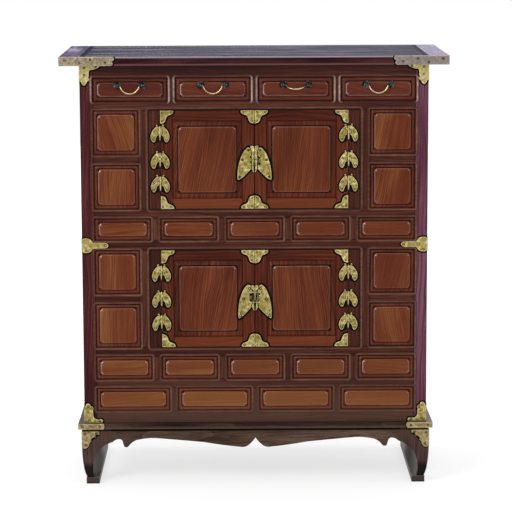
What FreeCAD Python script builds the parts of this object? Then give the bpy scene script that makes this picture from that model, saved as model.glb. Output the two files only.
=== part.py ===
import FreeCAD, Part
import os
import types

QUARTER_TURN = 90

# Driving sizes in millimetres, and angles in degrees
SIZES = {
    # Body and top board
    "body_width": 1000,
    "body_depth": 445,
    "top_side_overhang": 55.5,
    "top_front_overhang": 30,
    "top_back_overhang": 25,
    "top_thickness": 26,
    "top_end_width": 57,
    "top_back_width": 124,
    "top_rounding": 2,
    # Heights of the front, from the stand up
    "stand_height": 184,
    "bottom_rail_height": 35,
    "low_row_height": 68,
    "row_rail_height": 26,
    "tier_rail_height": 27,
    "tier_height": 286,
    "mid_rail_height": 29,
    "waist_row_height": 64,
    "drawer_rail_height": 26,
    "drawer_row_height": 67,
    "top_rail_height": 37,
    # Posts, rails and dividers
    "post_width": 37,
    "post_depth": 40,
    "front_rail_depth": 30,
    "side_rail_depth": 24,
    "four_divider_width": 24,
    "five_divider_width": 28,
    "square_panel_width": 130,
    "square_cross_height": 30,
    "tier_stile_width": 30,
    "hinge_strip_width": 32,
    "back_muntin_width": 60,
    "edge_rounding": 2,
    "bead_width": 4.5,
    "bead_quirk": 1.2,
    "tenon_length": 16,
    "tenon_shoulder": 7,
    "tenon_thickness": 8,
    "tenon_setback": 15,
    "side_tenon_setback": 8,
    # Panels
    "panel_recess": 5,
    "panel_thickness": 9,
    "tongue_length": 5,
    "tongue_thickness": 4,
    "tongue_setback": 3,
    "field_inset": 12,
    "field_rise": 3,
    "field_notch_radius": 7,
    # Doors
    "door_thickness": 20,
    "door_gap": 0.8,
    "door_stile_width": 34,
    "door_rail_height": 30,
    "door_tenon_setback": 8,
    "door_tenon_thickness": 6,
    "door_panel_recess": 4,
    "door_field_inset": 17,
    "door_field_rise": 2,
    "door_stop_depth": 12,
    "door_stop_height": 15,
    # Drawers
    "drawer_front_thickness": 14,
    "drawer_recess": 4,
    "drawer_gap": 0.8,
    "drawer_running_gap": 0.3,
    "drawer_back_space": 47,
    "drawer_side_thickness": 9,
    "drawer_bottom_thickness": 6,
    "drawer_side_drop": 4,
    # Inner boards
    "deck_thickness": 12,
    "guide_height": 30,
    "shelf_thickness": 14,
    # Pulls
    "pull_spacing": 70,
    "pull_drop": 20,
    "rosette_radius": 12,
    "rosette_thickness": 1.6,
    "eye_reach": 9,
    "eye_radius": 4.2,
    "eye_post_radius": 3,
    "bail_radius": 2,
    "bail_clearance": 0.05,
    "bail_stub": 5,
    "bail_bend_inset": 4,
    "bail_bend_radius": 4,
    "bail_drop": 24,
    "raised_bail_angle": 64,
    # Brass plates
    "brass_thickness": 1.2,
    "nail_radius": 2.3,
    "nail_top_radius": 1.2,
    "nail_height": 1.1,
    "corner_plate_width": 40,
    "corner_plate_height": 39,
    "bracket_arm_length": 56,
    "bracket_arm_width": 12,
    "bracket_leg_width": 25,
    "bracket_leg_length": 57,
    "waist_disc_radius": 21.5,
    "waist_disc_inset": 13,
    "waist_tongue_reach": 77,
    "waist_tongue_width": 19,
    "top_strap_length": 157,
    "stand_strap_length": 75,
    "leg_plate_width": 51,
    "leg_plate_height": 53,
    # Butterfly hinges
    "hinge_wing_width": 27.5,
    "hinge_half_height": 25,
    "hinge_pitch": 72.5,
    "hinge_sag": 4,
    "hinge_pin_offset": 3,
    "hinge_knuckle_radius": 2.5,
    "hinge_pin_radius": 1.2,
    "hinge_pin_clearance": 0.05,
    "hinge_knuckle_length": 6.6,
    "hinge_knuckle_gap": 0.3,
    "hinge_knuckle_rise": 2.6,
    "hinge_wing_gap": 3.2,
    "hinge_tail": 16,
    # Moth-shaped locks
    "lock_half_width": 50,
    "lock_height": 105,
    "lock_drop": 102,
    "lock_body_rise": 1.6,
    "lock_bar_radius": 1.5,
    "lock_bar_leg_radius": 1.1,
    "lock_upper_bar_drop": 31,
    "lock_lower_bar_drop": 60,
    "lock_bar_reach": 16,
    "lock_eye_offset": 14,
    "lock_eye_drop": 46,
    "lock_eye_radius": 4.5,
    "lock_eye_wire": 1.4,
    # Stand
    "stand_board_thickness": 17,
    "stand_board_side": 17,
    "stand_board_front": 15,
    "stand_reveal": 7,
    "stand_reveal_depth": 6,
    "leg_proud": 8,
    "leg_knee_width": 90,
    "apron_thickness": 20,
    "apron_setback": 1.5,
    "apron_depth": 51,
    "runner_height": 18,
    "runner_width": 38,
    "runner_inset": 11,
}

# Cabriole leg: (distance in from the outer face as a share of the knee's width,
# height over the runner as a share of the leg's height over it)
LEG_OUTER_SHARES = (
    ((0.0, 0.62), None),
    ((0.05, 0.24), (0.014, 0.43)),
    ((0.155, 0.0), (0.09, 0.11)),
)
LEG_INNER_SHARES = (
    ((0.37, 0.0), None),
    ((0.355, 0.25), (0.345, 0.12)),
    ((0.44, 0.486), (0.385, 0.37)),
    ((0.60, 0.635), (0.51, 0.57)),
    ((1.0, 0.77), (0.80, 0.72)),
)
# Apron's lower edge, from the leg to the middle: share of the half length, share of its depth below the top
APRON_SHARES = (
    ((0.0, 0.64), None),
    ((0.041, 0.48), (0.018, 0.53)),
    ((0.070, 0.66), (0.062, 0.53)),
    ((0.080, 0.92), None),
    ((0.108, 0.92), (0.094, 0.955)),
    ((0.165, 0.54), (0.133, 0.70)),
    ((0.300, 0.425), (0.228, 0.45)),
    ((0.640, 0.68), (0.480, 0.555)),
    ((0.905, 0.98), (0.770, 0.85)),
    ((0.960, 0.80), (0.938, 0.93)),
    ((1.0, 0.43), (0.981, 0.63)),
)
# Butterfly wing: shares of the wing's width and of half its height, from the pin outwards
WING_SHARES = (
    ((0.0, 0.08), None),
    ((0.0, 1.02), None),
    ((0.20, 1.18), (0.05, 1.13)),
    ((0.31, 1.08), None),
    ((0.15, 0.97), (0.19, 1.08)),
    ((0.32, 0.97), None),
    ((1.0, 0.02), (0.82, 0.62)),
    ((0.77, -1.0), (0.99, -0.54)),
    ((0.28, -0.06), (0.54, -0.48)),
    ((0.0, 0.08), (0.14, 0.07)),
)
# Half of the moth's wings and of its two kinds of body: shares of the half width and of the height
MOTH_WING_SHARES = (
    ((0.016, -0.095), None),
    ((0.33, -0.075), None),
    ((0.90, -0.55), (0.68, -0.285)),
    ((0.985, -1.0), (0.975, -0.77)),
    ((0.40, -0.80), (0.67, -0.915)),
    ((0.20, -0.735), (0.28, -0.755)),
    ((0.016, -0.735), None),
)
UPPER_BODY_SHARES = (
    ((0.016, -0.035), None),
    ((0.27, 0.0), (0.15, -0.035)),
    ((0.22, -0.16), (0.25, -0.09)),
    ((0.155, -0.28), (0.17, -0.21)),
    ((0.155, -0.72), None),
    ((0.016, -0.825), (0.11, -0.79)),
)
LOWER_BODY_SHARES = (
    ((0.016, -0.055), None),
    ((0.22, 0.0), (0.13, -0.045)),
    ((0.23, -0.15), None),
    ((0.14, -0.175), None),
    ((0.11, -0.30), (0.14, -0.25)),
    ((0.11, -0.57), None),
    ((0.165, -0.66), (0.15, -0.60)),
    ((0.016, -0.80), (0.135, -0.765)),
)
# Scalloped corner plate: shares of its width and height, from the corner
CORNER_SHARES = (
    ((0.0, 0.0), None),
    ((1.0, 0.0), None),
    ((0.72, 0.40), (0.93, 0.26)),
    ((0.46, 0.66), (0.55, 0.50)),
    ((0.0, 1.0), (0.33, 0.90)),
)
# Angle bracket: the end of its leg, as shares of the leg's width and length
BRACKET_END_SHARES = (
    ((1.0, 0.70), None),
    ((0.70, 0.86), (0.90, 0.80)),
    ((0.50, 1.0), (0.58, 0.92)),
    ((0.30, 0.86), (0.42, 0.92)),
    ((0.0, 0.70), (0.10, 0.80)),
)
# Plate on a leg: a stepped outline, shares of its width and height
LEG_PLATE_SHARES = (
    ((0.0, 0.0), None),
    ((1.0, 0.0), None),
    ((1.0, -0.24), None),
    ((0.74, -0.30), (0.86, -0.32)),
    ((0.62, -0.52), (0.64, -0.38)),
    ((0.50, -0.80), (0.60, -0.68)),
    ((0.25, -1.0), (0.40, -0.90)),
    ((0.0, -0.80), (0.10, -0.90)),
)
# Nails: shares of the plate that each one holds
CORNER_NAIL_SHARES = ((0.14, 0.14), (0.80, 0.13), (0.14, 0.78))
WING_NAIL_SHARES = ((0.62, 0.30), (0.77, -0.66))
MOTH_NAIL_SHARES = ((0.70, -0.43), (0.88, -0.88), (0.42, -0.17))
BRACKET_NAIL_SHARES = ((0.85, 0.5), (0.45, 0.5))
LEG_NAIL_SHARES = ((0.14, -0.14), (0.84, -0.13), (0.25, -0.78))


class Size:
    """A length that knows its value and the formula that gives it from the sheet."""

    def __init__(self, formula, value):
        self.formula = formula
        self.value = value

    def __add__(self, other):
        other = as_size(other)
        return Size(f"({self.formula} + {other.formula})", self.value + other.value)

    def __sub__(self, other):
        other = as_size(other)
        return Size(f"({self.formula} - {other.formula})", self.value - other.value)

    def __mul__(self, other):
        other = as_size(other)
        return Size(f"({self.formula} * {other.formula})", self.value * other.value)

    def __truediv__(self, other):
        other = as_size(other)
        return Size(f"({self.formula} / {other.formula})", self.value / other.value)

    def __neg__(self):
        return Size(f"(0 - {self.formula})", -self.value)

    def __radd__(self, other):
        return as_size(other) + self

    def __rsub__(self, other):
        return as_size(other) - self

    def __rmul__(self, other):
        return as_size(other) * self


def as_size(number):
    if isinstance(number, Size):
        return number
    if number < 0:
        return Size(f"(0 - {-number})", number)
    return Size(str(number), number)


doc = FreeCAD.newDocument("two_tier_chest")
sheet = doc.addObject("Spreadsheet::Sheet", "sizes")
for row, (alias, value) in enumerate(SIZES.items(), 1):
    sheet.set(f"A{row}", alias)
    sheet.set(f"B{row}", str(value))
    sheet.setAlias(f"B{row}", alias)
doc.recompute()
size = types.SimpleNamespace(**{name: Size(f"sizes.{name}", float(sheet.get(name))) for name in SIZES})

# Every sub-part, by the name of its node
nodes = {}

# Turns that point a solid's own +Z another way
TURNS = {
    "x": FreeCAD.Rotation(FreeCAD.Vector(0, 1, 0), QUARTER_TURN),
    "-x": FreeCAD.Rotation(FreeCAD.Vector(0, 1, 0), -QUARTER_TURN),
    "y": FreeCAD.Rotation(FreeCAD.Vector(1, 0, 0), -QUARTER_TURN),
    "-y": FreeCAD.Rotation(FreeCAD.Vector(1, 0, 0), QUARTER_TURN),
    "z": FreeCAD.Rotation(),
}

# Edges of a box along its front face
HORIZONTAL_FRONT_EDGES = (9, 10)
VERTICAL_FRONT_EDGES = (1, 5)


def bind(item, **lengths):
    """Bind properties of an object to formulas of the sheet."""
    for name, length in lengths.items():
        item.setExpression(name, as_size(length).formula)


def place(item, point, direction="z"):
    """Put an object at a point, with its own +Z along a direction."""
    item.Placement = FreeCAD.Placement(FreeCAD.Vector(), TURNS[direction])
    for axis, length in zip("xyz", point):
        item.setExpression(f"Placement.Base.{axis}", as_size(length).formula)


def block(low, high):
    """A box between two corners."""
    item = doc.addObject("Part::Box", "block")
    bind(item, Length=high[0] - low[0], Width=high[1] - low[1], Height=high[2] - low[2])
    place(item, low)
    return item


def rod(start, radius, length, direction):
    """A cylinder from a point along a direction."""
    item = doc.addObject("Part::Cylinder", "rod")
    bind(item, Radius=radius, Height=length)
    place(item, start, direction)
    return item


def rounded(item, edges, radius):
    """Round some edges of a box."""
    result = doc.addObject("Part::Fillet", "rounded")
    result.Base = item
    result.Edges = [(edge, radius.value, radius.value) for edge in edges]
    return result


def cut(item, tool):
    result = doc.addObject("Part::Cut", "cut")
    result.Base = item
    result.Tool = tool
    return result


def common(item, other):
    result = doc.addObject("Part::Common", "common")
    result.Base = item
    result.Tool = other
    return result


def fuse(items):
    result = doc.addObject("Part::MultiFuse", "fuse")
    result.Shapes = items
    return result


def group(items):
    """Several separate solids as one object."""
    result = doc.addObject("Part::Compound", "group")
    result.Links = items
    return result


def node(name, item):
    """Name an object as a sub-part."""
    item.Label = name
    nodes[name] = item


def outline(shares, width, height):
    """Edges through points given as shares; a point with a second point is reached by an arc through it."""
    edges = []
    last = None
    for target, middle in shares:
        end = (target[0] * width, target[1] * height)
        if last is not None and middle is not None:
            edges.append((last, (middle[0] * width, middle[1] * height), end))
        elif last is not None:
            edges.append((last, end))
        last = end
    return edges


def flat_plate(edges, to_point, push):
    """A solid plate: a closed outline of lines and arcs, put in space by to_point and pushed along a vector."""
    curves = []
    for points in edges:
        spots = [FreeCAD.Vector(*to_point(*point)) for point in points]
        if len(spots) == 2:
            curves.append(Part.LineSegment(*spots).toShape())
        else:
            curves.append(Part.Arc(*spots).toShape())
    first = curves[0].Vertexes[0].Point
    final = curves[-1].Vertexes[-1].Point
    if first.distanceToPoint(final) > first.Length * Part.Precision.confusion():
        curves.append(Part.LineSegment(final, first).toShape())
    face = Part.Face(Part.Wire(Part.__sortEdges__(curves)))
    item = doc.addObject("Part::Feature", "plate")
    item.Shape = face.extrude(FreeCAD.Vector(*push))
    return item


def mirrored(side, near, far):
    """The span from near to far on the right (side 1) or on the left (side -1)."""
    if side > 0:
        return near, far
    return -far, -near


# Planes of the body and heights of its rows
body_half = size.body_width / 2
top_half = body_half + size.top_side_overhang
top_depth = size.body_depth + size.top_front_overhang + size.top_back_overhang
top_front = -top_depth / 2
top_back = top_depth / 2
front = top_front + size.top_front_overhang
back = front + size.body_depth
post_inner = body_half - size.post_width
hinge_line = post_inner - size.square_panel_width - size.tier_stile_width - size.hinge_strip_width

STACK = (
    ("bottom_rail", "bottom_rail_height"),
    ("low_row", "low_row_height"),
    ("row_rail", "row_rail_height"),
    ("short_row", "low_row_height"),
    ("lower_sill", "tier_rail_height"),
    ("lower_tier", "tier_height"),
    ("mid_rail", "mid_rail_height"),
    ("waist_row", "waist_row_height"),
    ("upper_sill", "tier_rail_height"),
    ("upper_tier", "tier_height"),
    ("drawer_rail", "drawer_rail_height"),
    ("drawer_row", "drawer_row_height"),
    ("top_rail", "top_rail_height"),
)
rows = {}
level = size.stand_height
for row_name, height_name in STACK:
    rows[row_name] = (level, level + getattr(size, height_name))
    level = rows[row_name][1]
top_bottom = level
top_top = level + size.top_thickness

FRONT_RAILS = ("bottom_rail", "row_rail", "lower_sill", "mid_rail", "upper_sill", "drawer_rail", "top_rail")
SIDE_RAILS = ("bottom_rail", "mid_rail", "upper_sill", "drawer_rail", "top_rail")
BACK_RAILS = ("bottom_rail", "mid_rail", "top_rail")
TIERS = ("lower", "upper")
SIDES = {"left": -1, "right": 1}


def columns(count, divider):
    """Spans of equal openings between the posts, and of the dividers between them."""
    width = (2 * post_inner - (count - 1) * divider) / count
    openings = []
    dividers = []
    for number in range(count):
        start = -post_inner + number * (width + divider)
        openings.append((start, start + width))
        if number < count - 1:
            dividers.append((start + width, start + width + divider))
    return openings, dividers


four_openings, four_dividers = columns(4, size.four_divider_width)
five_openings, five_dividers = columns(5, size.five_divider_width)


def fielded_board(x, z, face, thickness, inset, rise):
    """A board with a raised field on its front, the field's corners notched."""
    board = block((x[0], face, z[0]), (x[1], face + thickness, z[1]))
    left, right = x[0] + inset, x[1] - inset
    low, high = z[0] + inset, z[1] - inset
    field = block((left, face - rise, low), (right, face, high))
    notches = group([
        rod((across, face - rise, up), size.field_notch_radius, rise, "y")
        for across in (left, right)
        for up in (low, high)
    ])
    return [board, cut(field, notches)]


def front_tongue(x, z, face):
    """The tongue round a front panel, which is also the groove's shape."""
    start = face + size.tongue_setback
    edge = size.tongue_length
    return block(
        (x[0] - edge, start, z[0] - edge),
        (x[1] + edge, start + size.tongue_thickness, z[1] + edge),
    )


def rail(low, high, axis, cheek, edges=()):
    """A rail along X (axis 0) or Y (axis 1) with a tenon at each end, and the tenons' bar as a cutter."""
    body = block(low, high)
    if edges:
        body = rounded(body, edges, size.edge_rounding)
    bar_low = list(low)
    bar_high = list(high)
    bar_low[axis] = low[axis] - size.tenon_length
    bar_high[axis] = high[axis] + size.tenon_length
    bar_low[1 - axis], bar_high[1 - axis] = cheek
    bar_low[2] = low[2] + size.tenon_shoulder
    bar_high[2] = high[2] - size.tenon_shoulder
    bar = block(bar_low, bar_high)
    return fuse([body, bar]), bar


def quirks(x, z, face, upright):
    """The two fine grooves that part a member's edge beads from its middle."""
    tools = []
    span = x if upright else z
    for near, step in ((span[0], size.bead_width), (span[1], -size.bead_width - size.bead_quirk)):
        start = near + step
        if upright:
            low, high = (start, face, z[0]), (start + size.bead_quirk, face + size.bead_quirk, z[1])
        else:
            low, high = (x[0], face, start), (x[1], face + size.bead_quirk, start + size.bead_quirk)
        tools.append(block(low, high))
    return tools


def upright(x, z, depth):
    """A front divider or stile with its two front edges rounded, and its quirks as cutters."""
    body = block((x[0], front, z[0]), (x[1], front + depth, z[1]))
    return rounded(body, VERTICAL_FRONT_EDGES, size.edge_rounding), quirks(x, z, front, True)


# Front panels
panel_face = front + size.panel_recess
front_tongues = []


def front_panels(spans, row):
    boards = []
    for x in spans:
        tongue = front_tongue(x, row, panel_face)
        front_tongues.append(tongue)
        parts = fielded_board(
            x, row, panel_face, size.panel_thickness, size.field_inset, size.field_rise)
        boards.append(fuse(parts + [tongue]))
    return boards


square_boards = []
cross_spans = []
for tier in TIERS:
    low, high = rows[f"{tier}_tier"]
    middle = (low + high) / 2
    cross = (middle - size.square_cross_height / 2, middle + size.square_cross_height / 2)
    for side in SIDES.values():
        x = mirrored(side, post_inner - size.square_panel_width, post_inner)
        square_boards += front_panels([x], (low, cross[0]))
        square_boards += front_panels([x], (cross[1], high))
        cross_spans.append((x, cross))
node("square_panels", group(square_boards))
row_boards = front_panels(five_openings, rows["waist_row"])
row_boards += front_panels(five_openings, rows["short_row"])
row_boards += front_panels(four_openings, rows["low_row"])
node("row_panels", group(row_boards))

# Front rails and dividers
front_cheek = (front + size.tenon_setback, front + size.tenon_setback + size.tenon_thickness)
tenon_bars = []
bodies = []
tools = list(front_tongues)
for name in FRONT_RAILS:
    z = rows[name]
    body, bar = rail(
        (-post_inner, front, z[0]), (post_inner, front + size.front_rail_depth, z[1]),
        0, front_cheek, HORIZONTAL_FRONT_EDGES)
    bodies.append(body)
    tenon_bars.append(bar)
    tools += quirks((-post_inner, post_inner), z, front, False)
node("front_rails", cut(group(bodies), group(tools)))

bodies = []
tools = list(front_tongues)
muntins = [(x, "drawer_row") for x in four_dividers] + [(x, "low_row") for x in four_dividers]
muntins += [(x, "waist_row") for x in five_dividers] + [(x, "short_row") for x in five_dividers]
for x, row_name in muntins:
    body, grooves = upright(x, rows[row_name], size.front_rail_depth)
    bodies.append(body)
    tools += grooves
node("front_muntins", cut(group(bodies), group(tools)))

bodies = []
tools = list(front_tongues)
strips = []
for tier in TIERS:
    for side in SIDES.values():
        z = rows[f"{tier}_tier"]
        outer = hinge_line + size.hinge_strip_width
        body, grooves = upright(
            mirrored(side, outer, outer + size.tier_stile_width), z, size.front_rail_depth)
        bodies.append(body)
        tools += grooves
        x = mirrored(side, hinge_line, outer)
        strips.append(block((x[0], front, z[0]), (x[1], front + size.front_rail_depth, z[1])))
for x, z in cross_spans:
    body = block((x[0], front, z[0]), (x[1], front + size.front_rail_depth, z[1]))
    bodies.append(rounded(body, HORIZONTAL_FRONT_EDGES, size.edge_rounding))
    tools += quirks(x, z, front, False)
node("tier_frames", group([cut(group(bodies), group(tools)), group(strips)]))

# Side frames and panels
side_bodies = []
side_tongues = []
side_panels = []
side_front = front + size.post_depth
side_back = back - size.post_depth
for side in SIDES.values():
    x = mirrored(side, body_half - size.side_rail_depth, body_half)
    outer = body_half - size.side_tenon_setback
    cheek = mirrored(side, outer - size.tenon_thickness, outer)
    for name in SIDE_RAILS:
        z = rows[name]
        body, bar = rail((x[0], side_front, z[0]), (x[1], side_back, z[1]), 1, cheek)
        side_bodies.append(body)
        tenon_bars.append(bar)
    outer = body_half - size.panel_recess
    board_x = mirrored(side, outer - size.panel_thickness, outer)
    groove_outer = outer - size.tongue_setback
    tongue_x = mirrored(side, groove_outer - size.tongue_thickness, groove_outer)
    edge = size.tongue_length
    for lower, upper in zip(SIDE_RAILS, SIDE_RAILS[1:]):
        low, high = rows[lower][1], rows[upper][0]
        board = block((board_x[0], side_front, low), (board_x[1], side_back, high))
        tongue = block(
            (tongue_x[0], side_front - edge, low - edge), (tongue_x[1], side_back + edge, high + edge))
        side_tongues.append(tongue)
        side_panels.append(fuse([board, tongue]))
node("side_rails", cut(group(side_bodies), group(side_tongues)))
node("side_panels", group(side_panels))

# Back frame and panels
back_bodies = []
back_tongues = []
back_panels = []
back_inner = back - size.side_rail_depth
back_outer = back - size.side_tenon_setback
for name in BACK_RAILS:
    z = rows[name]
    body, bar = rail(
        (-post_inner, back_inner, z[0]), (post_inner, back, z[1]),
        0, (back_outer - size.tenon_thickness, back_outer))
    back_bodies.append(body)
    tenon_bars.append(bar)
muntin_half = size.back_muntin_width / 2
board_back = back - size.panel_recess
tongue_back = board_back - size.tongue_setback
for lower, upper in zip(BACK_RAILS, BACK_RAILS[1:]):
    low, high = rows[lower][1], rows[upper][0]
    back_bodies.append(block((-muntin_half, back_inner, low), (muntin_half, back, high)))
    for side in SIDES.values():
        x = mirrored(side, muntin_half, post_inner)
        board = block((x[0], board_back - size.panel_thickness, low), (x[1], board_back, high))
        edge = size.tongue_length
        tongue = block(
            (x[0] - edge, tongue_back - size.tongue_thickness, low - edge),
            (x[1] + edge, tongue_back, high + edge))
        back_tongues.append(tongue)
        back_panels.append(fuse([board, tongue]))
node("back_frame", cut(group(back_bodies), group(back_tongues)))
node("back_panels", group(back_panels))

# Corner posts, grooved and mortised
posts = []
post_grooves = []
for side in SIDES.values():
    x = mirrored(side, post_inner, body_half)
    z = (size.stand_height, top_bottom)
    front_post = block((x[0], front, z[0]), (x[1], side_front, z[1]))
    posts.append(rounded(front_post, VERTICAL_FRONT_EDGES, size.edge_rounding))
    posts.append(block((x[0], side_back, z[0]), (x[1], back, z[1])))
    post_grooves.append(quirks(x, z, front, True)[0 if side > 0 else 1])
post_tools = post_grooves + front_tongues + side_tongues + back_tongues + tenon_bars
node("corner_posts", cut(group(posts), group(post_tools)))

# Boards inside
inner_front = front + size.front_rail_depth
inner_half = body_half - size.side_rail_depth


def inner_board(top, thickness):
    """A board between the rails all round, notched for the posts."""
    board = block((-inner_half, inner_front, top - thickness), (inner_half, back_inner, top))
    notches = []
    for side in SIDES.values():
        x = mirrored(side, post_inner, body_half)
        notches.append(block((x[0], front, top - thickness), (x[1], side_front, top)))
        notches.append(block((x[0], side_back, top - thickness), (x[1], back, top)))
    return cut(board, group(notches))


deck_top = rows["drawer_rail"][1]
deck_parts = [inner_board(deck_top, size.deck_thickness)]
guide_spans = four_dividers + [mirrored(side, post_inner, inner_half) for side in SIDES.values()]
for number, x in enumerate(guide_spans):
    start = inner_front if number < len(four_dividers) else side_front
    end = back_inner if number < len(four_dividers) else side_back
    deck_parts.append(block((x[0], start, deck_top), (x[1], end, deck_top + size.guide_height)))
node("drawer_deck", group(deck_parts))
node("middle_shelf", inner_board(rows["mid_rail"][1], size.shelf_thickness))
node("bottom_board", inner_board(rows["bottom_rail"][1], size.shelf_thickness))

stops = []
for tier in TIERS:
    top = rows[f"{tier}_tier"][1]
    start = front + size.door_thickness
    stops.append(block(
        (-hinge_line, start, top - size.door_stop_height),
        (hinge_line, start + size.door_stop_depth, top)))
node("door_stops", group(stops))

# Top
end_inner = top_half - size.top_end_width
seam = top_back - size.top_back_width
main_board = block((-end_inner, top_front, top_bottom), (end_inner, seam, top_top))
back_board = block((-end_inner, seam, top_bottom), (end_inner, top_back, top_top))
node("top_boards", group([rounded(main_board, HORIZONTAL_FRONT_EDGES, size.top_rounding), back_board]))
ends = []
for side in SIDES.values():
    x = mirrored(side, end_inner, top_half)
    board = block((x[0], top_front, top_bottom), (x[1], top_back, top_top))
    ends.append(rounded(board, HORIZONTAL_FRONT_EDGES, size.top_rounding))
node("top_end_boards", group(ends))


def nail(point, direction):
    """A tapered nail head that sits on a plate and points along a direction."""
    item = doc.addObject("Part::Cone", "nail")
    bind(item, Radius1=size.nail_radius, Radius2=size.nail_top_radius, Height=size.nail_height)
    place(item, point, direction)
    return item


frame_nails = []
straps = []
brass = size.brass_thickness


def wrap_strap(side, x_edge, y_edge, z, length, facing):
    """A strap round a vertical corner: facing is -1 at the front and 1 at the back."""
    x = mirrored(side, x_edge - length, x_edge + brass)
    y = (y_edge - brass, y_edge) if facing < 0 else (y_edge, y_edge + brass)
    face_part = block((x[0], y[0], z[0]), (x[1], y[1], z[1]))
    x = mirrored(side, x_edge, x_edge + brass)
    y = (y_edge, y_edge + length) if facing < 0 else (y_edge - length, y_edge)
    return fuse([face_part, block((x[0], y[0], z[0]), (x[1], y[1], z[1]))])


def strap_nails(side, x_edge, y_edge, z, length, facing, count):
    """A row of nails along both parts of a strap."""
    middle = (z[0] + z[1]) / 2
    for number in range(count):
        run = length * (2 * number + 1) / (2 * count)
        y = y_edge + facing * brass
        frame_nails.append(nail((side * (x_edge - run), y, middle), "y" if facing > 0 else "-y"))
        x = side * (x_edge + brass)
        frame_nails.append(nail((x, y_edge - facing * run, middle), "x" if side > 0 else "-x"))


TOP_STRAP_NAILS = 6
STAND_STRAP_NAILS = 3
for side in SIDES.values():
    for facing, y_edge in ((-1, top_front), (1, top_back)):
        z = (top_bottom, top_top)
        straps.append(wrap_strap(side, top_half, y_edge, z, size.top_strap_length, facing))
        strap_nails(side, top_half, y_edge, z, size.top_strap_length, facing, TOP_STRAP_NAILS)

# Stand
board_top = size.stand_height
board_bottom = board_top - size.stand_board_thickness
board_half = body_half + size.stand_board_side
board_front = front - size.stand_board_front
board_back = back + size.stand_board_front
node("stand_board", rounded(
    block((-board_half, board_front, board_bottom), (board_half, board_back, board_top)),
    HORIZONTAL_FRONT_EDGES, size.top_rounding))
z = (board_bottom, board_top)
for side in SIDES.values():
    straps.append(wrap_strap(side, board_half, board_front, z, size.stand_strap_length, -1))
    strap_nails(side, board_half, board_front, z, size.stand_strap_length, -1, STAND_STRAP_NAILS)

leg_top = board_bottom - size.stand_reveal
leg_half = body_half + size.leg_proud
leg_front = front - size.leg_proud
leg_back = back + size.leg_proud


def over_runner(shares):
    """A leg's curve, from its shares: its lower end stands on the runner."""
    foot = size.runner_height.value
    curve = outline(shares, size.leg_knee_width.value, leg_top.value - foot)
    return [tuple((inward, foot + up) for inward, up in points) for points in curve]


def leg_outline():
    """One leg from the side: distance in from its outer face, and height."""
    knee = size.leg_knee_width.value
    reveal = size.stand_reveal_depth.value
    high = leg_top.value
    top = board_bottom.value
    edges = [
        ((knee - reveal, top), (reveal, top)),
        ((reveal, top), (reveal, high)),
        ((reveal, high), (0, high)),
    ]
    outer = over_runner(LEG_OUTER_SHARES)
    edges.append(((0, high), outer[0][0]))
    inner = over_runner(LEG_INNER_SHARES)
    edges += outer
    edges.append((outer[-1][-1], inner[0][0]))
    edges += inner
    edges.append((inner[-1][-1], (knee, high)))
    edges.append(((knee, high), (knee - reveal, high)))
    edges.append(((knee - reveal, high), (knee - reveal, top)))
    return edges


legs = []
for side in SIDES.values():
    for facing, y_edge in ((-1, leg_front.value), (1, leg_back.value)):
        knee = size.leg_knee_width.value
        x_edge = side * leg_half.value
        seen_front = flat_plate(
            leg_outline(), lambda inward, up: (x_edge - side * inward, y_edge, up),
            (0, -facing * knee, 0))
        seen_side = flat_plate(
            leg_outline(), lambda inward, up: (x_edge, y_edge - facing * inward, up),
            (-side * knee, 0, 0))
        legs.append(common(seen_front, seen_side))
node("stand_legs", group(legs))


def apron_outline(half):
    """An apron with its middle at 0: a scalloped lower edge, mirrored."""
    high = leg_top.value
    drop = size.apron_depth.value
    lower = outline(APRON_SHARES, half, -drop)
    left = [tuple((across - half, high + up) for across, up in points) for points in lower]
    right = [tuple((-across, up) for across, up in reversed(points)) for points in reversed(left)]
    reveal = size.stand_reveal_depth.value
    top = board_bottom.value
    ceiling = [((half, high), (half - reveal, high)), ((half - reveal, high), (half - reveal, top)),
               ((half - reveal, top), (reveal - half, top)), ((reveal - half, top), (reveal - half, high)),
               ((reveal - half, high), (-half, high))]
    left_end = [((-half, high), left[0][0])]
    right_end = [(right[-1][-1], (half, high))]
    return left_end + left + right + right_end + ceiling


aprons = []
apron_x = (leg_half - size.leg_knee_width).value
apron_y = ((leg_back - leg_front) / 2 - size.leg_knee_width).value
centre_y = ((leg_back + leg_front) / 2).value
thickness = size.apron_thickness.value
for facing, y_edge in ((-1, leg_front), (1, leg_back)):
    outer = y_edge.value - facing * size.apron_setback.value
    aprons.append(flat_plate(
        apron_outline(apron_x), lambda across, up: (across, outer, up), (0, -facing * thickness, 0)))
for side in SIDES.values():
    outer = side * (leg_half - size.apron_setback).value
    aprons.append(flat_plate(
        apron_outline(apron_y), lambda across, up: (outer, centre_y + across, up),
        (-side * thickness, 0, 0)))
node("stand_aprons", group(aprons))

# Floor runners: each carries a front leg and a back one, and its ends show as their feet
runner_outer = leg_half - size.runner_inset
runners = []
for side in SIDES.values():
    x = mirrored(side, runner_outer - size.runner_width, runner_outer)
    runners.append(block((x[0], leg_front + size.runner_inset, 0),
                         (x[1], leg_back - size.runner_inset, size.runner_height)))
node("stand_runners", group(runners))

# Brackets on the body's front corners
bracket_width = size.bracket_leg_width.value
bracket_length = size.bracket_leg_length.value


def bracket_outline(direction):
    """An angle bracket from its corner: an arm across, and a scalloped leg that runs up (1) or down (-1)."""
    reach = size.bracket_arm_length.value
    arm = size.bracket_arm_width.value
    tip = outline(BRACKET_END_SHARES, bracket_width, bracket_length)
    edges = [((0, 0), (reach, 0)), ((reach, 0), (reach, arm)), ((reach, arm), (bracket_width, arm)),
             ((bracket_width, arm), tip[0][0])]
    edges += tip
    edges.append((tip[-1][-1], (0, 0)))
    return [tuple((across, direction * up) for across, up in points) for points in edges]


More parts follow.
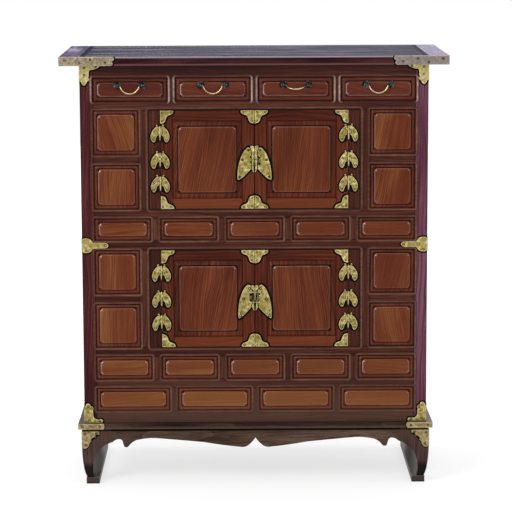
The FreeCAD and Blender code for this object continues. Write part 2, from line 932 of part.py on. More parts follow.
def corner_brackets(side, corner_z, direction):
    """Angle brackets on the front and on the side of a corner."""
    x_face = side * body_half.value
    straps.append(flat_plate(
        bracket_outline(direction),
        lambda across, up: (x_face - side * across, front.value, corner_z.value + up),
        (0, -brass.value, 0)))
    straps.append(flat_plate(
        bracket_outline(direction),
        lambda across, up: (x_face, front.value + across, corner_z.value + up),
        (side * brass.value, 0, 0)))
    for across_share, up_share in BRACKET_NAIL_SHARES:
        across = across_share * size.bracket_arm_length
        up = corner_z + direction * up_share * size.bracket_arm_width
        frame_nails.append(nail((side * (body_half - across), front - brass, up), "-y"))
        frame_nails.append(nail((side * (body_half + brass), front + across, up), "x" if side > 0 else "-x"))
    middle = size.bracket_leg_width / 2
    up = corner_z + direction * (size.bracket_leg_length - size.bracket_arm_width)
    frame_nails.append(nail((side * (body_half - middle), front - brass, up), "-y"))
    frame_nails.append(nail((side * (body_half + brass), front + middle, up), "x" if side > 0 else "-x"))


def waist_strap(side):
    """A keyhole strap at the waist: a disc at the corner and a tongue, on the front and on the side."""
    middle = (rows["mid_rail"][0] + rows["mid_rail"][1]) / 2
    radius = size.waist_disc_radius
    half = size.waist_tongue_width / 2
    reach = size.waist_tongue_reach - half
    low, high = middle - radius, middle + radius
    x = mirrored(side, body_half - size.waist_tongue_reach, body_half)
    centre = side * (body_half - size.waist_disc_inset)
    disc = rod((centre, front - brass, middle), radius, brass, "y")
    disc = common(disc, block((x[0], front - brass, low), (x[1], front, high)))
    x = mirrored(side, body_half - reach, body_half - size.waist_disc_inset)
    tongue = block((x[0], front - brass, middle - half), (x[1], front, middle + half))
    end = rod((side * (body_half - reach), front - brass, middle), half, brass, "y")
    straps.append(fuse([disc, tongue, end]))
    start = body_half if side > 0 else -body_half - brass
    disc = rod((start, front + size.waist_disc_inset, middle), radius, brass, "x")
    disc = common(disc, block(
        (start, front, low), (start + brass, front + size.waist_tongue_reach, high)))
    tongue = block(
        (start, front + size.waist_disc_inset, middle - half), (start + brass, front + reach, middle + half))
    end = rod((start, front + reach, middle), half, brass, "x")
    straps.append(fuse([disc, tongue, end]))
    turn = "x" if side > 0 else "-x"
    for across in (size.waist_disc_inset, reach):
        frame_nails.append(nail((side * (body_half - across), front - brass, middle), "-y"))
        frame_nails.append(nail((side * (body_half + brass), front + across, middle), turn))


for side in SIDES.values():
    corner_brackets(side, top_bottom, -1)
    corner_brackets(side, size.stand_height, 1)
    waist_strap(side)

# Plates on the front legs
for side in SIDES.values():
    shape = outline(LEG_PLATE_SHARES, size.leg_plate_width.value, size.leg_plate_height.value)
    x_edge = side * leg_half.value
    straps.append(flat_plate(
        shape, lambda across, up: (x_edge - side * across, leg_front.value, leg_top.value + up),
        (0, -brass.value, 0)))
    straps.append(flat_plate(
        shape, lambda across, up: (x_edge, leg_front.value + across, leg_top.value + up),
        (side * brass.value, 0, 0)))
    for across_share, up_share in LEG_NAIL_SHARES:
        across = across_share * size.leg_plate_width
        up = leg_top + up_share * size.leg_plate_height
        frame_nails.append(nail((side * (leg_half - across), leg_front - brass, up), "-y"))
        frame_nails.append(
            nail((side * (leg_half + brass), leg_front + across, up), "x" if side > 0 else "-x"))
node("body_brasses", group(straps))

# Butterfly hinges
pin_y = front - size.hinge_pin_offset
knuckle_total = 3 * size.hinge_knuckle_length + 2 * size.hinge_knuckle_gap
frame_hinges = []


def hinge_heights(tier):
    """Heights of the middles of a door's three hinges; the middle one hangs a little low."""
    low, high = rows[f"{tier}_tier"]
    middle = (low + high) / 2
    return (middle - size.hinge_pitch, middle - size.hinge_sag, middle + size.hinge_pitch)


def knuckle(x, z, towards):
    """A ring round the pin with its tab towards the wing."""
    length = size.hinge_knuckle_length
    ring = rod((x, pin_y, z), size.hinge_knuckle_radius, length, "z")
    reach = size.hinge_wing_gap + brass
    span = (x, x + reach) if towards > 0 else (x - reach, x)
    tab = block((span[0], front - brass, z), (span[1], front, z + length))
    bore = rod((x, pin_y, z), size.hinge_pin_radius + size.hinge_pin_clearance, length, "z")
    return cut(fuse([ring, tab]), bore)


def hinge_leaf(x, z, towards, places):
    """One wing of a butterfly hinge with its knuckles, counted from the bottom."""
    start = x + towards * size.hinge_wing_gap
    width = size.hinge_wing_width - size.hinge_wing_gap
    wing = flat_plate(
        outline(WING_SHARES, width.value, size.hinge_half_height.value),
        lambda across, up: (start.value + towards * across, front.value, z.value + up),
        (0, -brass.value, 0))
    pitch = size.hinge_knuckle_length + size.hinge_knuckle_gap
    rings = [knuckle(x, z + size.hinge_knuckle_rise + place_number * pitch, towards) for place_number in places]
    return fuse([wing] + rings)


def wing_nails(x, z, towards):
    start = x + towards * size.hinge_wing_gap
    width = size.hinge_wing_width - size.hinge_wing_gap
    return [
        nail((start + towards * across * width, front - brass, z + up * size.hinge_half_height), "-y")
        for across, up in WING_NAIL_SHARES
    ]


for tier in TIERS:
    for side in SIDES.values():
        for z in hinge_heights(tier):
            x = side * hinge_line
            frame_hinges.append(hinge_leaf(x, z, side, (0, 2)))
            foot = z - size.hinge_tail
            head = size.hinge_tail + size.hinge_knuckle_rise + knuckle_total + size.hinge_pin_radius
            pin = rod((x, pin_y, foot), size.hinge_pin_radius, head, "z")
            cap = rod(
                (x, pin_y, foot + head), size.hinge_knuckle_radius, size.hinge_pin_radius, "z")
            frame_hinges.append(fuse([pin, cap]))
            frame_nails += wing_nails(x, z, side)
node("frame_hinges", group(frame_hinges))
node("frame_nails", group(frame_nails))


# Doors
def door(tier, word):
    side = SIDES[word]
    low, high = rows[f"{tier}_tier"]
    z = (low + size.door_gap, high - size.door_gap)
    gap = size.door_gap
    seam_x, hinge_x = gap, hinge_line - gap
    y = (front, front + size.door_thickness)
    stile = size.door_stile_width
    height = size.door_rail_height
    tenon_start = front + size.door_tenon_setback
    cheek = (tenon_start, tenon_start + size.door_tenon_thickness)
    inner_x = mirrored(side, seam_x + stile, hinge_x - stile)
    inner_z = (z[0] + height, z[1] - height)
    members = []
    bars = []
    for span in ((z[0], inner_z[0]), (inner_z[1], z[1])):
        body, bar = rail((inner_x[0], y[0], span[0]), (inner_x[1], y[1], span[1]), 0, cheek)
        members.append(body)
        bars.append(bar)
    tongue = front_tongue(inner_x, inner_z, front + size.door_panel_recess)
    stiles = []
    for near in (seam_x, hinge_x - stile):
        x = mirrored(side, near, near + stile)
        stiles.append(block((x[0], y[0], z[0]), (x[1], y[1], z[1])))
    node(f"door_frame_{tier}_{word}", group([
        cut(group(stiles), group(bars + [tongue])), cut(group(members), tongue)]))
    parts = fielded_board(
        inner_x, inner_z, front + size.door_panel_recess, size.panel_thickness,
        size.door_field_inset, size.door_field_rise)
    node(f"door_panel_{tier}_{word}", fuse(parts + [tongue]))
    door_brasses(tier, word, (seam_x, hinge_x), z)
    leaves = []
    for height_z in hinge_heights(tier):
        leaves.append(hinge_leaf(side * hinge_line, height_z, -side, (1,)))
    node(f"door_hinges_{tier}_{word}", group(leaves))


def door_brasses(tier, word, span, z):
    """Corner plates, half a lock and their nails."""
    side = SIDES[word]
    plates = []
    nails = []
    plate_y = front - brass
    shape = outline(CORNER_SHARES, size.corner_plate_width.value, size.corner_plate_height.value)
    for x_edge, inward in ((span[0], 1), (span[1], -1)):
        for z_edge, upward in ((z[0], 1), (z[1], -1)):
            plates.append(flat_plate(
                shape,
                lambda across, up: (
                    side * (x_edge.value + inward * across), front.value, z_edge.value + upward * up),
                (0, -brass.value, 0)))
            for across, up in CORNER_NAIL_SHARES:
                nails.append(nail((
                    side * (x_edge + inward * across * size.corner_plate_width),
                    plate_y,
                    z_edge + upward * up * size.corner_plate_height), "-y"))
    lock_top = z[1] - size.lock_drop
    half = size.lock_half_width
    tall = size.lock_height

    def to_plate(across, up):
        return side * across, front.value, lock_top.value + up

    def to_body(across, up):
        return side * across, plate_y.value, lock_top.value + up

    wings = flat_plate(outline(MOTH_WING_SHARES, half.value, tall.value), to_plate, (0, -brass.value, 0))
    body_shares = UPPER_BODY_SHARES if tier == "upper" else LOWER_BODY_SHARES
    push = (0, -size.lock_body_rise.value, 0)
    body = flat_plate(outline(body_shares, half.value, tall.value), to_body, push)
    strip = flat_plate(outline(body_shares, half.value, tall.value), to_plate, (0, -brass.value, 0))
    lock = [wings, body, strip]
    body_face = plate_y - size.lock_body_rise
    if tier == "lower":
        for drop in (size.lock_upper_bar_drop, size.lock_lower_bar_drop):
            x = mirrored(side, span[0], size.lock_bar_reach)
            radius = size.lock_bar_radius
            bar_low = lock_top - drop
            lock.append(rod((x[0], body_face, bar_low), radius, x[1] - x[0], "x"))
            leg_x = side * (size.lock_bar_reach - radius)
            lock.append(rod(
                (leg_x, front - brass / 2, bar_low), size.lock_bar_leg_radius,
                size.lock_body_rise + brass / 2, "-y"))
    eye = doc.addObject("Part::Torus", "eye")
    bind(eye, Radius1=size.lock_eye_radius, Radius2=size.lock_eye_wire)
    centre = (side * size.lock_eye_offset, plate_y, lock_top - size.lock_eye_drop)
    place(eye, centre, "x")
    reach = size.lock_eye_radius + size.lock_eye_wire
    behind = block(
        (centre[0] - reach, plate_y + brass / 2, centre[2] - reach),
        (centre[0] + reach, plate_y + brass / 2 + reach, centre[2] + reach))
    lock.append(cut(eye, behind))
    plates.append(fuse(lock))
    for across, up in MOTH_NAIL_SHARES:
        nails.append(nail((side * across * half, plate_y, lock_top + up * tall), "-y"))
    for z_middle in hinge_heights(tier):
        nails += wing_nails(side * hinge_line, z_middle, -side)
    node(f"door_plates_{tier}_{word}", group(plates))
    node(f"door_nails_{tier}_{word}", group(nails))


for tier in TIERS:
    for word in SIDES:
        door(tier, word)


def bail_wire(angle, centre, eye_y, eye_z):
    """A bail: stubs in the two eyes, a small bend at each and one round bow, swung out by an angle."""
    half = size.pull_spacing.value / 2
    stub = size.bail_stub.value
    bend = size.bail_bend_radius.value
    drop = size.bail_drop.value
    start = FreeCAD.Vector(size.bail_bend_inset.value - half, 0, 0)
    # The bow touches both bends: its radius and theirs add up to the distance of their centres
    reach = (start.x ** 2 / drop + drop) / 2
    bend_centre = start - FreeCAD.Vector(0, 0, bend)
    bow_centre = FreeCAD.Vector(0, 0, reach - bend - drop)
    towards = (bow_centre - bend_centre).normalize()
    upward = FreeCAD.Vector(0, 0, 1)
    middle = bend_centre + (towards + upward).normalize() * bend
    touch = bend_centre + towards * bend
    left = [(FreeCAD.Vector(-half - stub, 0, 0), start), (start, middle, touch)]
    right = [
        tuple(FreeCAD.Vector(-point.x, 0, point.z) for point in reversed(piece))
        for piece in reversed(left)
    ]
    bow = (touch, FreeCAD.Vector(0, 0, -drop), right[0][0])
    curves = []
    for piece in left + [bow] + right:
        curve = Part.LineSegment(*piece) if len(piece) == 2 else Part.Arc(*piece)
        curves.append(curve.toShape())
    profile = Part.Wire(Part.makeCircle(
        size.bail_radius.value, FreeCAD.Vector(-half - stub, 0, 0), FreeCAD.Vector(1, 0, 0)))
    item = doc.addObject("Part::Feature", "bail")
    item.Shape = Part.Wire(curves).makePipeShell([profile], True, False)
    turn = FreeCAD.Rotation(FreeCAD.Vector(1, 0, 0), -angle)
    item.Placement = FreeCAD.Placement(FreeCAD.Vector(centre.value, eye_y.value, eye_z.value), turn)
    return item


RAISED_BAIL = 3


def drawer(number, x):
    gap = size.drawer_gap
    span = (x[0] + gap, x[1] - gap)
    row = rows["drawer_row"]
    z = (row[0] + gap, row[1] - gap)
    face = front + size.drawer_recess
    inner = face + size.drawer_front_thickness
    node(f"drawer_front_{number}", fuse(fielded_board(
        span, z, face, size.drawer_front_thickness, size.field_inset, size.field_rise)))
    wall = size.drawer_side_thickness
    end = back_inner - size.drawer_back_space
    floor = row[0] + size.drawer_running_gap
    top = z[1] - size.drawer_side_drop
    base = floor + size.drawer_bottom_thickness
    pieces = [
        block((span[0], inner, floor), (span[0] + wall, end, top)),
        block((span[1] - wall, inner, floor), (span[1], end, top)),
        block((span[0] + wall, end - wall, floor), (span[1] - wall, end, top)),
        block((span[0] + wall, inner, floor), (span[1] - wall, end - wall, base)),
    ]
    node(f"drawer_box_{number}", group(pieces))
    centre = (x[0] + x[1]) / 2
    field_face = face - size.field_rise
    eye_y = field_face - size.eye_reach
    eye_z = z[1] - size.pull_drop
    mounts = []
    for side in SIDES.values():
        at = centre + side * size.pull_spacing / 2
        rosette = rod((at, field_face - size.rosette_thickness, eye_z), size.rosette_radius,
                      size.rosette_thickness, "y")
        post = rod((at, eye_y, eye_z), size.eye_post_radius, size.eye_reach, "y")
        ball = doc.addObject("Part::Sphere", "ball")
        bind(ball, Radius=size.eye_radius)
        place(ball, (at, eye_y, eye_z))
        bore = rod((at - size.eye_radius, eye_y, eye_z), size.bail_radius + size.bail_clearance,
                   2 * size.eye_radius, "x")
        mounts.append(cut(fuse([rosette, post, ball]), bore))
    node(f"pull_mounts_{number}", group(mounts))
    angle = size.raised_bail_angle.value if number == RAISED_BAIL else 0
    node(f"bail_{number}", bail_wire(angle, centre, eye_y, eye_z))


for number, x in enumerate(four_openings, 1):
    drawer(number, x)

doc.recompute()
faults = [item.Label for item in doc.Objects if "Invalid" in item.State or "Error" in item.State]
for name, item in nodes.items():
    if item.Shape.isNull() or not item.Shape.isValid() or not item.Shape.Solids:
        faults.append(name)
if faults:
    raise RuntimeError("failed objects: " + ", ".join(faults))
os.makedirs("parts", exist_ok=True)
for name, item in nodes.items():
    item.Shape.exportStep(f"parts/{name}.step")
    print(name, len(item.Shape.Solids), round(item.Shape.Volume))
print(len(nodes), "nodes")
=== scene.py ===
import math
import random
from collections import namedtuple

import bmesh
import bpy
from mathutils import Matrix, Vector


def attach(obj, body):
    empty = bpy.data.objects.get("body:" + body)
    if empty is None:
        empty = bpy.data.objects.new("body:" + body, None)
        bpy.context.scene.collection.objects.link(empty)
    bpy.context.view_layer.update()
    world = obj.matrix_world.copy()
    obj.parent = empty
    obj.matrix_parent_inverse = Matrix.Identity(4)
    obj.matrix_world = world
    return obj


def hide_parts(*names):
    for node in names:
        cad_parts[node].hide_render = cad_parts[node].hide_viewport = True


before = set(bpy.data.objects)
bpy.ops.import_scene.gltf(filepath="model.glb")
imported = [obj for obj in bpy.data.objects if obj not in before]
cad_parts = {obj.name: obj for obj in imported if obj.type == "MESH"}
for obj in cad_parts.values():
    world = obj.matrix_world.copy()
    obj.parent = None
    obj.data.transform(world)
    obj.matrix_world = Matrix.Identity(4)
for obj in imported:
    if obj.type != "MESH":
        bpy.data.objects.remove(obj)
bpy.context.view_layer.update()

# Lengths are in millimetres, and turn into metres where a mesh is made
MM = 0.001
SEED = 7
draw = random.Random(SEED)

FRONT = -220.0
BACK = 225.0
BODY_HALF = 500.0
POST_INNER = 463.0
RAIL_DEPTH = 30.0
POST_DEPTH = 40.0
HINGE_LINE = 271.0
STRIP_WIDTH = 32.0
STILE_WIDTH = 30.0
MUNTIN_WIDTHS = {4: 24.0, 5: 28.0}
CROSS_RAIL_HALF = 15
FRONT_GAP = 0.8
DOOR_STILE = 34
DOOR_RAIL = 30
DOOR_DEPTH = 20.0
TOP_HALF = 555.5
TOP_FRONT = -250.0
TOP_BACK = 250.0
STAND_HALF = 517.0
STAND_FRONT = -235.0
LEG_HALF = 508.0
LEG_FRONT = -228.0
LEG_BACK = 233.0
LEG_TOP = 160.0
APRON_SETBACK = 1.5
ROWS = {
    "stand_board": (167, 184), "bottom_rail": (184, 219), "low_row": (219, 287), "row_rail": (287, 313),
    "short_row": (313, 381), "lower_sill": (381, 408), "lower_tier": (408, 694), "mid_rail": (694, 723),
    "waist_row": (723, 787), "upper_sill": (787, 814), "upper_tier": (814, 1100), "drawer_rail": (1100, 1126),
    "drawer_row": (1126, 1193), "top_rail": (1193, 1230), "top": (1230, 1256),
}
SIDES = {"left": -1, "right": 1}
TIERS = ("lower", "upper")


# Outlines

def spline(points, steps=5):
    """A smooth line through points."""
    line = [points[0], *points, points[-1]]
    result = []
    for group in zip(line, line[1:], line[2:], line[3:]):
        for step in range(steps):
            t = step / steps
            result.append(tuple(
                0.5 * (2 * q + (r - p) * t + (2 * p - 5 * q + 4 * r - s) * t * t
                       + (3 * q - p - 3 * r + s) * t ** 3)
                for p, q, r, s in zip(*group)))
    return result + [points[-1]]


def outline(start, *runs):
    """A closed outline: a straight line leads to a point, and a smooth one through a list of points."""
    loop = [start]
    for run in runs:
        loop += spline([loop[-1], *run])[1:] if isinstance(run, list) else [run]
    if loop[-1] == start:
        loop.pop()
    area = sum(a[0] * b[1] - b[0] * a[1] for a, b in zip(loop, loop[1:] + loop[:1]))
    return loop if area > 0 else loop[::-1]


def grown(loop, distance):
    """A loop pushed outwards, with its sharpest corners held back."""
    result = []
    for before, here, after in zip(loop[-1:] + loop[:-1], loop, loop[1:] + loop[:1]):
        first = Vector((here[1] - before[1], before[0] - here[0])).normalized()
        second = Vector((after[1] - here[1], here[0] - after[0])).normalized()
        both = first + second
        if both.length > 0.01:
            push = both * (distance / max(both.length_squared / 2, 0.7))
        else:
            push = first * distance
        result.append((here[0] + push.x, here[1] + push.y))
    return result


def frame_loop(x, z, inset, radius, coved, steps=5):
    """A rectangle with rounded or coved corners, from its low left corner round."""
    loop = []
    for number, (column, row) in enumerate(((0, 0), (1, 0), (1, 1), (0, 1))):
        in_x, in_z = 1 - 2 * column, 1 - 2 * row
        centre_x, centre_z = x[column] + in_x * inset, z[row] + in_z * inset
        if not coved:
            centre_x += in_x * radius
            centre_z += in_z * radius
        for step in range(steps + 1):
            share = step / steps
            turn = math.radians(number * 90 + (90 - 90 * share if coved else 180 + 90 * share))
            loop.append((centre_x + radius * math.cos(turn), centre_z + radius * math.sin(turn)))
    return loop


def circle(around):
    """The directions of the points round a circle."""
    turns = [step * math.tau / around for step in range(around)]
    return [(math.cos(turn), math.sin(turn)) for turn in turns]


def mirrored(side, near, far):
    return (near, far) if side > 0 else (-far, -near)


def within(span, margin):
    """A span made shorter at both ends."""
    return span[0] + margin, span[1] - margin


# Pieces

pieces = []


class Piece:
    """One object in the making: its points in millimetres, faces, materials, grain, wear with painted light
    and shade, and tone.
    """

    def __init__(self, name, body, slot, finishes, replaced=()):
        self.name = name
        self.body = body
        self.slot = slot
        self.finishes = finishes
        self.replaced = replaced
        self.points, self.faces, self.marks = [], [], []
        self.grain, self.wear, self.tone = [], [], []
        pieces.append(self)

    def rings(self, loops, marks=0, wear=0.0, grain=None, tone=0.0, wrap=False):
        """Skin a stack of loops of equal length, closed at both ends or wrapped round onto itself.

        marks is a material's number, or a list with one for each band. wear is a value, or a list with one
        for each loop or for each point. Above nought it stands for rubbed wear with a painted highlight,
        below it for painted shade.
        """
        count = len(loops[0])
        points = [point for loop in loops for point in loop]
        first = len(self.points)
        starts = list(range(first, first + len(points), count))
        ends = starts[1:] + starts[:1] if wrap else starts[1:]
        faces = [
            [low + step, low + (step + 1) % count, high + (step + 1) % count, high + step]
            for low, high in zip(starts, ends) for step in range(count)
        ]
        if not wrap:
            faces += [list(range(start, start + count)) for start in (first, starts[-1])]
        if isinstance(marks, list):
            marks = [mark for mark in marks for _ in range(count)] + [marks[0], marks[-1]]
        if isinstance(wear, list) and len(wear) == len(loops):
            wear = [value for value in wear for _ in range(count)]
        self.points += points
        self.faces += faces
        self.marks += marks if isinstance(marks, list) else [marks] * len(faces)
        self.wear += wear if isinstance(wear, list) else [wear] * len(points)
        self.grain += [grain(point) for point in points] if grain else points
        self.tone += [tone] * len(points)

    def build(self):
        mesh = bpy.data.meshes.new(self.name)
        mesh.from_pydata([Vector(point) * MM for point in self.points], [], self.faces)
        shaped = bmesh.new()
        shaped.from_mesh(mesh)
        for face, mark in zip(shaped.faces, self.marks):
            face.material_index = mark
        bmesh.ops.recalc_face_normals(shaped, faces=shaped.faces[:])
        shaped.to_mesh(mesh)
        shaped.free()
        grain = mesh.attributes.new("grain", "FLOAT_VECTOR", "POINT")
        grain.data.foreach_set("vector", [value * MM for point in self.grain for value in point])
        mesh.attributes.new("wear", "FLOAT", "POINT").data.foreach_set("value", self.wear)
        mesh.attributes.new("tone", "FLOAT", "POINT").data.foreach_set("value", self.tone)
        mesh.polygons.foreach_set("use_smooth", [True] * len(mesh.polygons))
        mesh.set_sharp_from_angle(angle=math.radians(38))
        item = bpy.data.objects.new(self.name, mesh)
        bpy.context.scene.collection.objects.link(item)
        for finish in self.finishes:
            mesh.materials.append(finish)
        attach(item, self.body)
        if self.replaced:
            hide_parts(*self.replaced)


def grain_along(angle=0.0, bow=0.0):
    """Grain coordinates at an angle from +X in the front's plane, each board with a place of its own."""
    shift = [draw.uniform(-900, 900) for _ in range(3)]
    cosine, sine = math.cos(math.radians(angle)), math.sin(math.radians(angle))

    def place(point):
        x, y, z = point
        along, across = cosine * x + sine * z, cosine * z - sine * x
        return along + shift[0], across + shift[1] + bow * along, y + shift[2]

    return place


# Bars, and beads round the openings between them

# Painted shade towards a bar's ends, where it meets the next part: distance from the end, wear
BAR_END_SHADE = ((0.0, -1.0), (1.2, -0.8), (3.2, 0.0))


def bar(piece, x, z, upright, depth, tone=0.0, front=FRONT, facing=-1, edge=-0.9, mark=0):
    """A bar with softened edges, painted shade at its ends and along its sides; facing is -1 at the front and
    1 at the back.
    """
    (start, end), (near, far) = (z, x) if upright else (x, z)
    # Distance across, depth behind the front, wear; edge paints a dark line of shade along each side
    half = [(0.0, depth, 0.0), (0.0, 1.2, edge), (0.4, 0.3, edge), (1.6, 0.0, 0.0), (3.4, 0.0, 0.0)]
    profile = half + [(far - near - across, back, wear) for across, back, wear in reversed(half)]
    places = [(start + reach, end_shade) for reach, end_shade in BAR_END_SHADE]
    places += [(end - reach, end_shade) for reach, end_shade in reversed(BAR_END_SHADE)]
    loops = []
    wear = []
    for place, end_shade in places:
        if upright:
            loops.append([(near + across, front - facing * back, place) for across, back, _ in profile])
        else:
            loops.append([(place, front - facing * back, near + across) for across, back, _ in profile])
        wear += [end_shade + value for _, _, value in profile]
    piece.rings(loops, mark, wear, grain_along(90 if upright else 0), tone)


def round_about(across, up, x, z, reach, sides, corners=(0, 0, 0, 0)):
    """A weight round a rectangle, from those of its left, right, low and high sides and of its corners.

    The corners' weights go round from the low left one.
    """
    middle = ((x[0] + x[1]) / 2, (z[0] + z[1]) / 2)
    beyond = max(abs(across - middle[0]) - (x[1] - x[0]) / 2 + reach, 0.0)
    above = max(abs(up - middle[1]) - (z[1] - z[0]) / 2 + reach, 0.0)
    share = beyond / (beyond + above) if beyond + above > 0 else 0.5
    right, high = across > middle[0], up > middle[1]
    corner = corners[(2 if right else 3) if high else (1 if right else 0)]
    beside, level = sides[1 if right else 0], sides[3 if high else 2]
    return share * beside + (1 - share) * level + 4 * share * (1 - share) * corner


# A bead's section: outwards from the opening's edge, forward of the front, wear. The wear paints shade
# at the bead's feet and a highlight with rubbed wear on its crown
BEAD = (
    (0.0, -4.0, -1.0), (0.1, -0.8, -0.9), (0.9, 0.3, 0.1), (2.4, 0.95, 0.9), (4.0, 1.1, 1.0), (5.6, 0.9, 0.6),
    (7.2, 0.35, 0.15), (8.2, -0.3, -0.3), (8.1, -4.0, -0.6),
)
BEAD_CORNER = 1.3
BEAD_TONE = 0.1
PAINTED_SHADOW_LINE = -1.6
# Painted highlight with rubbed wear on each side of a bead, and painted shade along its inner edge:
# left, right, low and high sides
BEAD_HIGHLIGHT = (0.09, 0.26, 0.19, 0.15)
DRAWER_HIGHLIGHT = (0.50, 0.66, 0.02, 0.03)
LOW_HIGHLIGHT = (0.11, 0.22, 0.20, 0.13)
DOOR_HIGHLIGHT = (0.20, 0.20, 0.12, 0.14)
BEAD_SHADE = (0.65, 0.5, 0.45, 0.9)


def bead(piece, x, z, shine=BEAD_HIGHLIGHT, mark=1, gap=0.0):
    """A rounded moulding round an opening, with a black band of painted shadow, of width gap, inside it."""
    section = BEAD
    if gap:
        section = [BEAD[0], (0.0, 0.1, PAINTED_SHADOW_LINE), (gap, 0.15, PAINTED_SHADOW_LINE)]
        section += [(outwards + gap, forward, value) for outwards, forward, value in BEAD[2:]]
    loops = []
    wear = []
    for outwards, forward, value in section:
        radius = BEAD_CORNER * outwards + 0.2
        ring = frame_loop(x, z, -outwards, radius, False)
        loops.append([(across, FRONT - forward, up) for across, up in ring])
        sides = shine if value > 0 else BEAD_SHADE
        wear += [value * round_about(across, up, x, z, radius - outwards, sides) for across, up in ring]
    upright = z[1] - z[0] > x[1] - x[0]
    piece.rings(loops, mark, wear, grain_along(90 if upright else 0), BEAD_TONE, wrap=True)


# Fielded boards. Each kind has its distance behind the front, thickness, width of border, rise of the field,
# whether its border is rolled, the painted highlight on the field's four sides and four corners, and the
# painted shade along its sides.
Board = namedtuple("Board", "recess thickness inset rise rolled shine corners dark")
SHADED_SIDES = (0.7, 0.6, 0.35, 0.95)
BOARDS = {
    "square": Board(5, 9.0, 12.0, 3.0, True, (0.17, 0.05, 0.04, 0.10), (0.12, 0.06, 0.35, 0.95), SHADED_SIDES),
    "row": Board(5, 9.0, 12.0, 3.0, True, (0.32, 0.15, 0.07, 0.04), (0.35, 0.15, 0.40, 0.75), SHADED_SIDES),
    "low": Board(5, 9.0, 12.0, 3.0, True, (0.20, 0.08, 0.08, 0.04), (0.20, 0.1, 0.25, 0.6), SHADED_SIDES),
    "door": Board(4, 9.0, 17.0, 2.0, False, (0.08, 0.05, 0.08, 0.12), (0.10, 0.08, 0.45, 0.85),
                  (1.1, 0.85, 1.0, 1.25)),
    "drawer": Board(4, 14.0, 12.0, 3.0, False, (0.55, 0.07, 0.14, 0.06), (0.15, 0.05, 0.15, 0.4),
                    (0.5, 0.95, 0.6, 0.9)),
}
# A border's outer rings: inset, radius of the corners, out from the face, wear; below nought it paints
# shade in the gap round the border
ROLLED_EDGE = ((1.6, 3.0, -0.9, -0.9), (2.4, 4.6, 0.3, -0.5), (3.4, 5.6, 1.1, 0.12), (4.8, 5.6, 1.2, 0.05))
FLAT_EDGE = ((1.0, 0.8, 0.0, -0.3), (4.0, 0.8, 0.0, 0.0))
FIELD, BORDER = 0, 1


def panel(piece, x, z, kind, angle, tone, bow=0.0):
    """A board with a border and a raised field whose corners are coved, with painted shade in its gaps and
    groove and a painted highlight on the field's bevel.
    """
    board = BOARDS[kind]
    inset, rise = board.inset, board.rise
    outer = ROLLED_EDGE if board.rolled else FLAT_EDGE
    level = outer[-1][2]
    border = [
        *outer,
        (inset - 4.2, 3.4, level, 0.1),
        (inset - 2.9, 2.6, level - 0.3, -0.6),
        (inset - 2.0, 2.0, -1.0, -1.1),
    ]
    field = [
        (inset - 0.7, 6.6, -1.2, -1.2),
        (inset - 0.1, 6.2, -0.4, -0.9),
        (inset + 0.15, 6.0, rise - 1.2, 0.35),
        (inset + 0.9, 5.7, rise - 0.4, 1.0),
        (inset + 2.0, 5.4, rise, 0.85),
        (inset + 3.4, 5.2, rise, 0.25),
        (inset + 5.5, 5.2, rise, 0.0),
    ]
    face = FRONT + board.recess
    rim = frame_loop(x, z, 0, 1.0, False)
    loops = [[(across, face + back, up) for across, up in rim] for back in (board.thickness, 0.4)]
    wear = [0.0] * len(rim) + [-0.8] * len(rim)
    for sections, coved in ((border, False), (field, True)):
        for edge, radius, out, value in sections:
            ring = frame_loop(x, z, edge, radius, coved)
            loops.append([(across, face - out, up) for across, up in ring])
            weights = (board.shine, board.corners) if value > 0 else (board.dark,)
            wear += [value * round_about(across, up, x, z, edge + radius, *weights) for across, up in ring]
    marks = [BORDER] * (len(border) + 2) + [FIELD] * (len(field) - 1)
    piece.rings(loops, marks, wear, grain_along(angle, bow), tone)


# Metalwork

# DARK marks the black material: painted shadow round the plates, and black details
BRASS, DARK = 0, 1
PLATE_THICK = 1.2


class Face:
    """A flat side of the chest: where a plate's across, up and out lead."""

    def __init__(self, origin, across, up, out):
        self.origin = Vector(origin)
        self.axes = [Vector(axis) for axis in (across, up, out)]

    def at(self, across, up, out):
        first, second, third = self.axes
        return tuple(self.origin + first * across + second * up + third * out)


def front_face(x, z, side):
    return Face((x, FRONT, z), (side, 0, 0), (0, 0, 1), (0, -1, 0))


def both_faces(side, x_edge, y_edge, z, facing=-1):
    """The front or back face and the side face at a vertical corner, across measured from the corner."""
    first = Face((side * x_edge, y_edge, z), (-side, 0, 0), (0, 0, 1), (0, facing, 0))
    second = Face((side * x_edge, y_edge, z), (0, -facing, 0), (0, 0, 1), (side, 0, 0))
    return first, second


def held(low_x, low_z, high_x, high_z):
    """Keeps a rim's points inside a rectangle."""
    def limit(across, up):
        return min(max(across, low_x), high_x), min(max(up, low_z), high_z)
    return limit


def past(near):
    """Keeps a rim's points off the seam or the pin at which its plate ends."""
    return held(near, -math.inf, math.inf, math.inf)


def plate(piece, face, loop, limit, thickness=PLATE_THICK, base=0.0, shadow_skirt=4.4, edge=0.6, tone=0.0):
    """A plate with softened edges, rubbed and painted with a highlight, on a black rim of painted shadow."""
    rim = [limit(*point) for point in grown(loop, shadow_skirt)]
    stack = [(rim, 0.0), (loop, 0.35), (loop, thickness - edge)]
    stack += [(grown(loop, -inwards), thickness) for inwards in (edge, 1.5, 2.6)]
    loops = [[face.at(across, up, base + out) for across, up in ring] for ring, out in stack]
    # The rim and the foot of the edge are painted shade, the top of the edge a painted highlight with wear
    piece.rings(loops, [DARK, BRASS, BRASS, BRASS, BRASS], [-1.0, -0.8, 0.2, 1.0, 0.8, 0.0], tone=tone)


DOME_AROUND = 12
DOME_LEVELS = 3


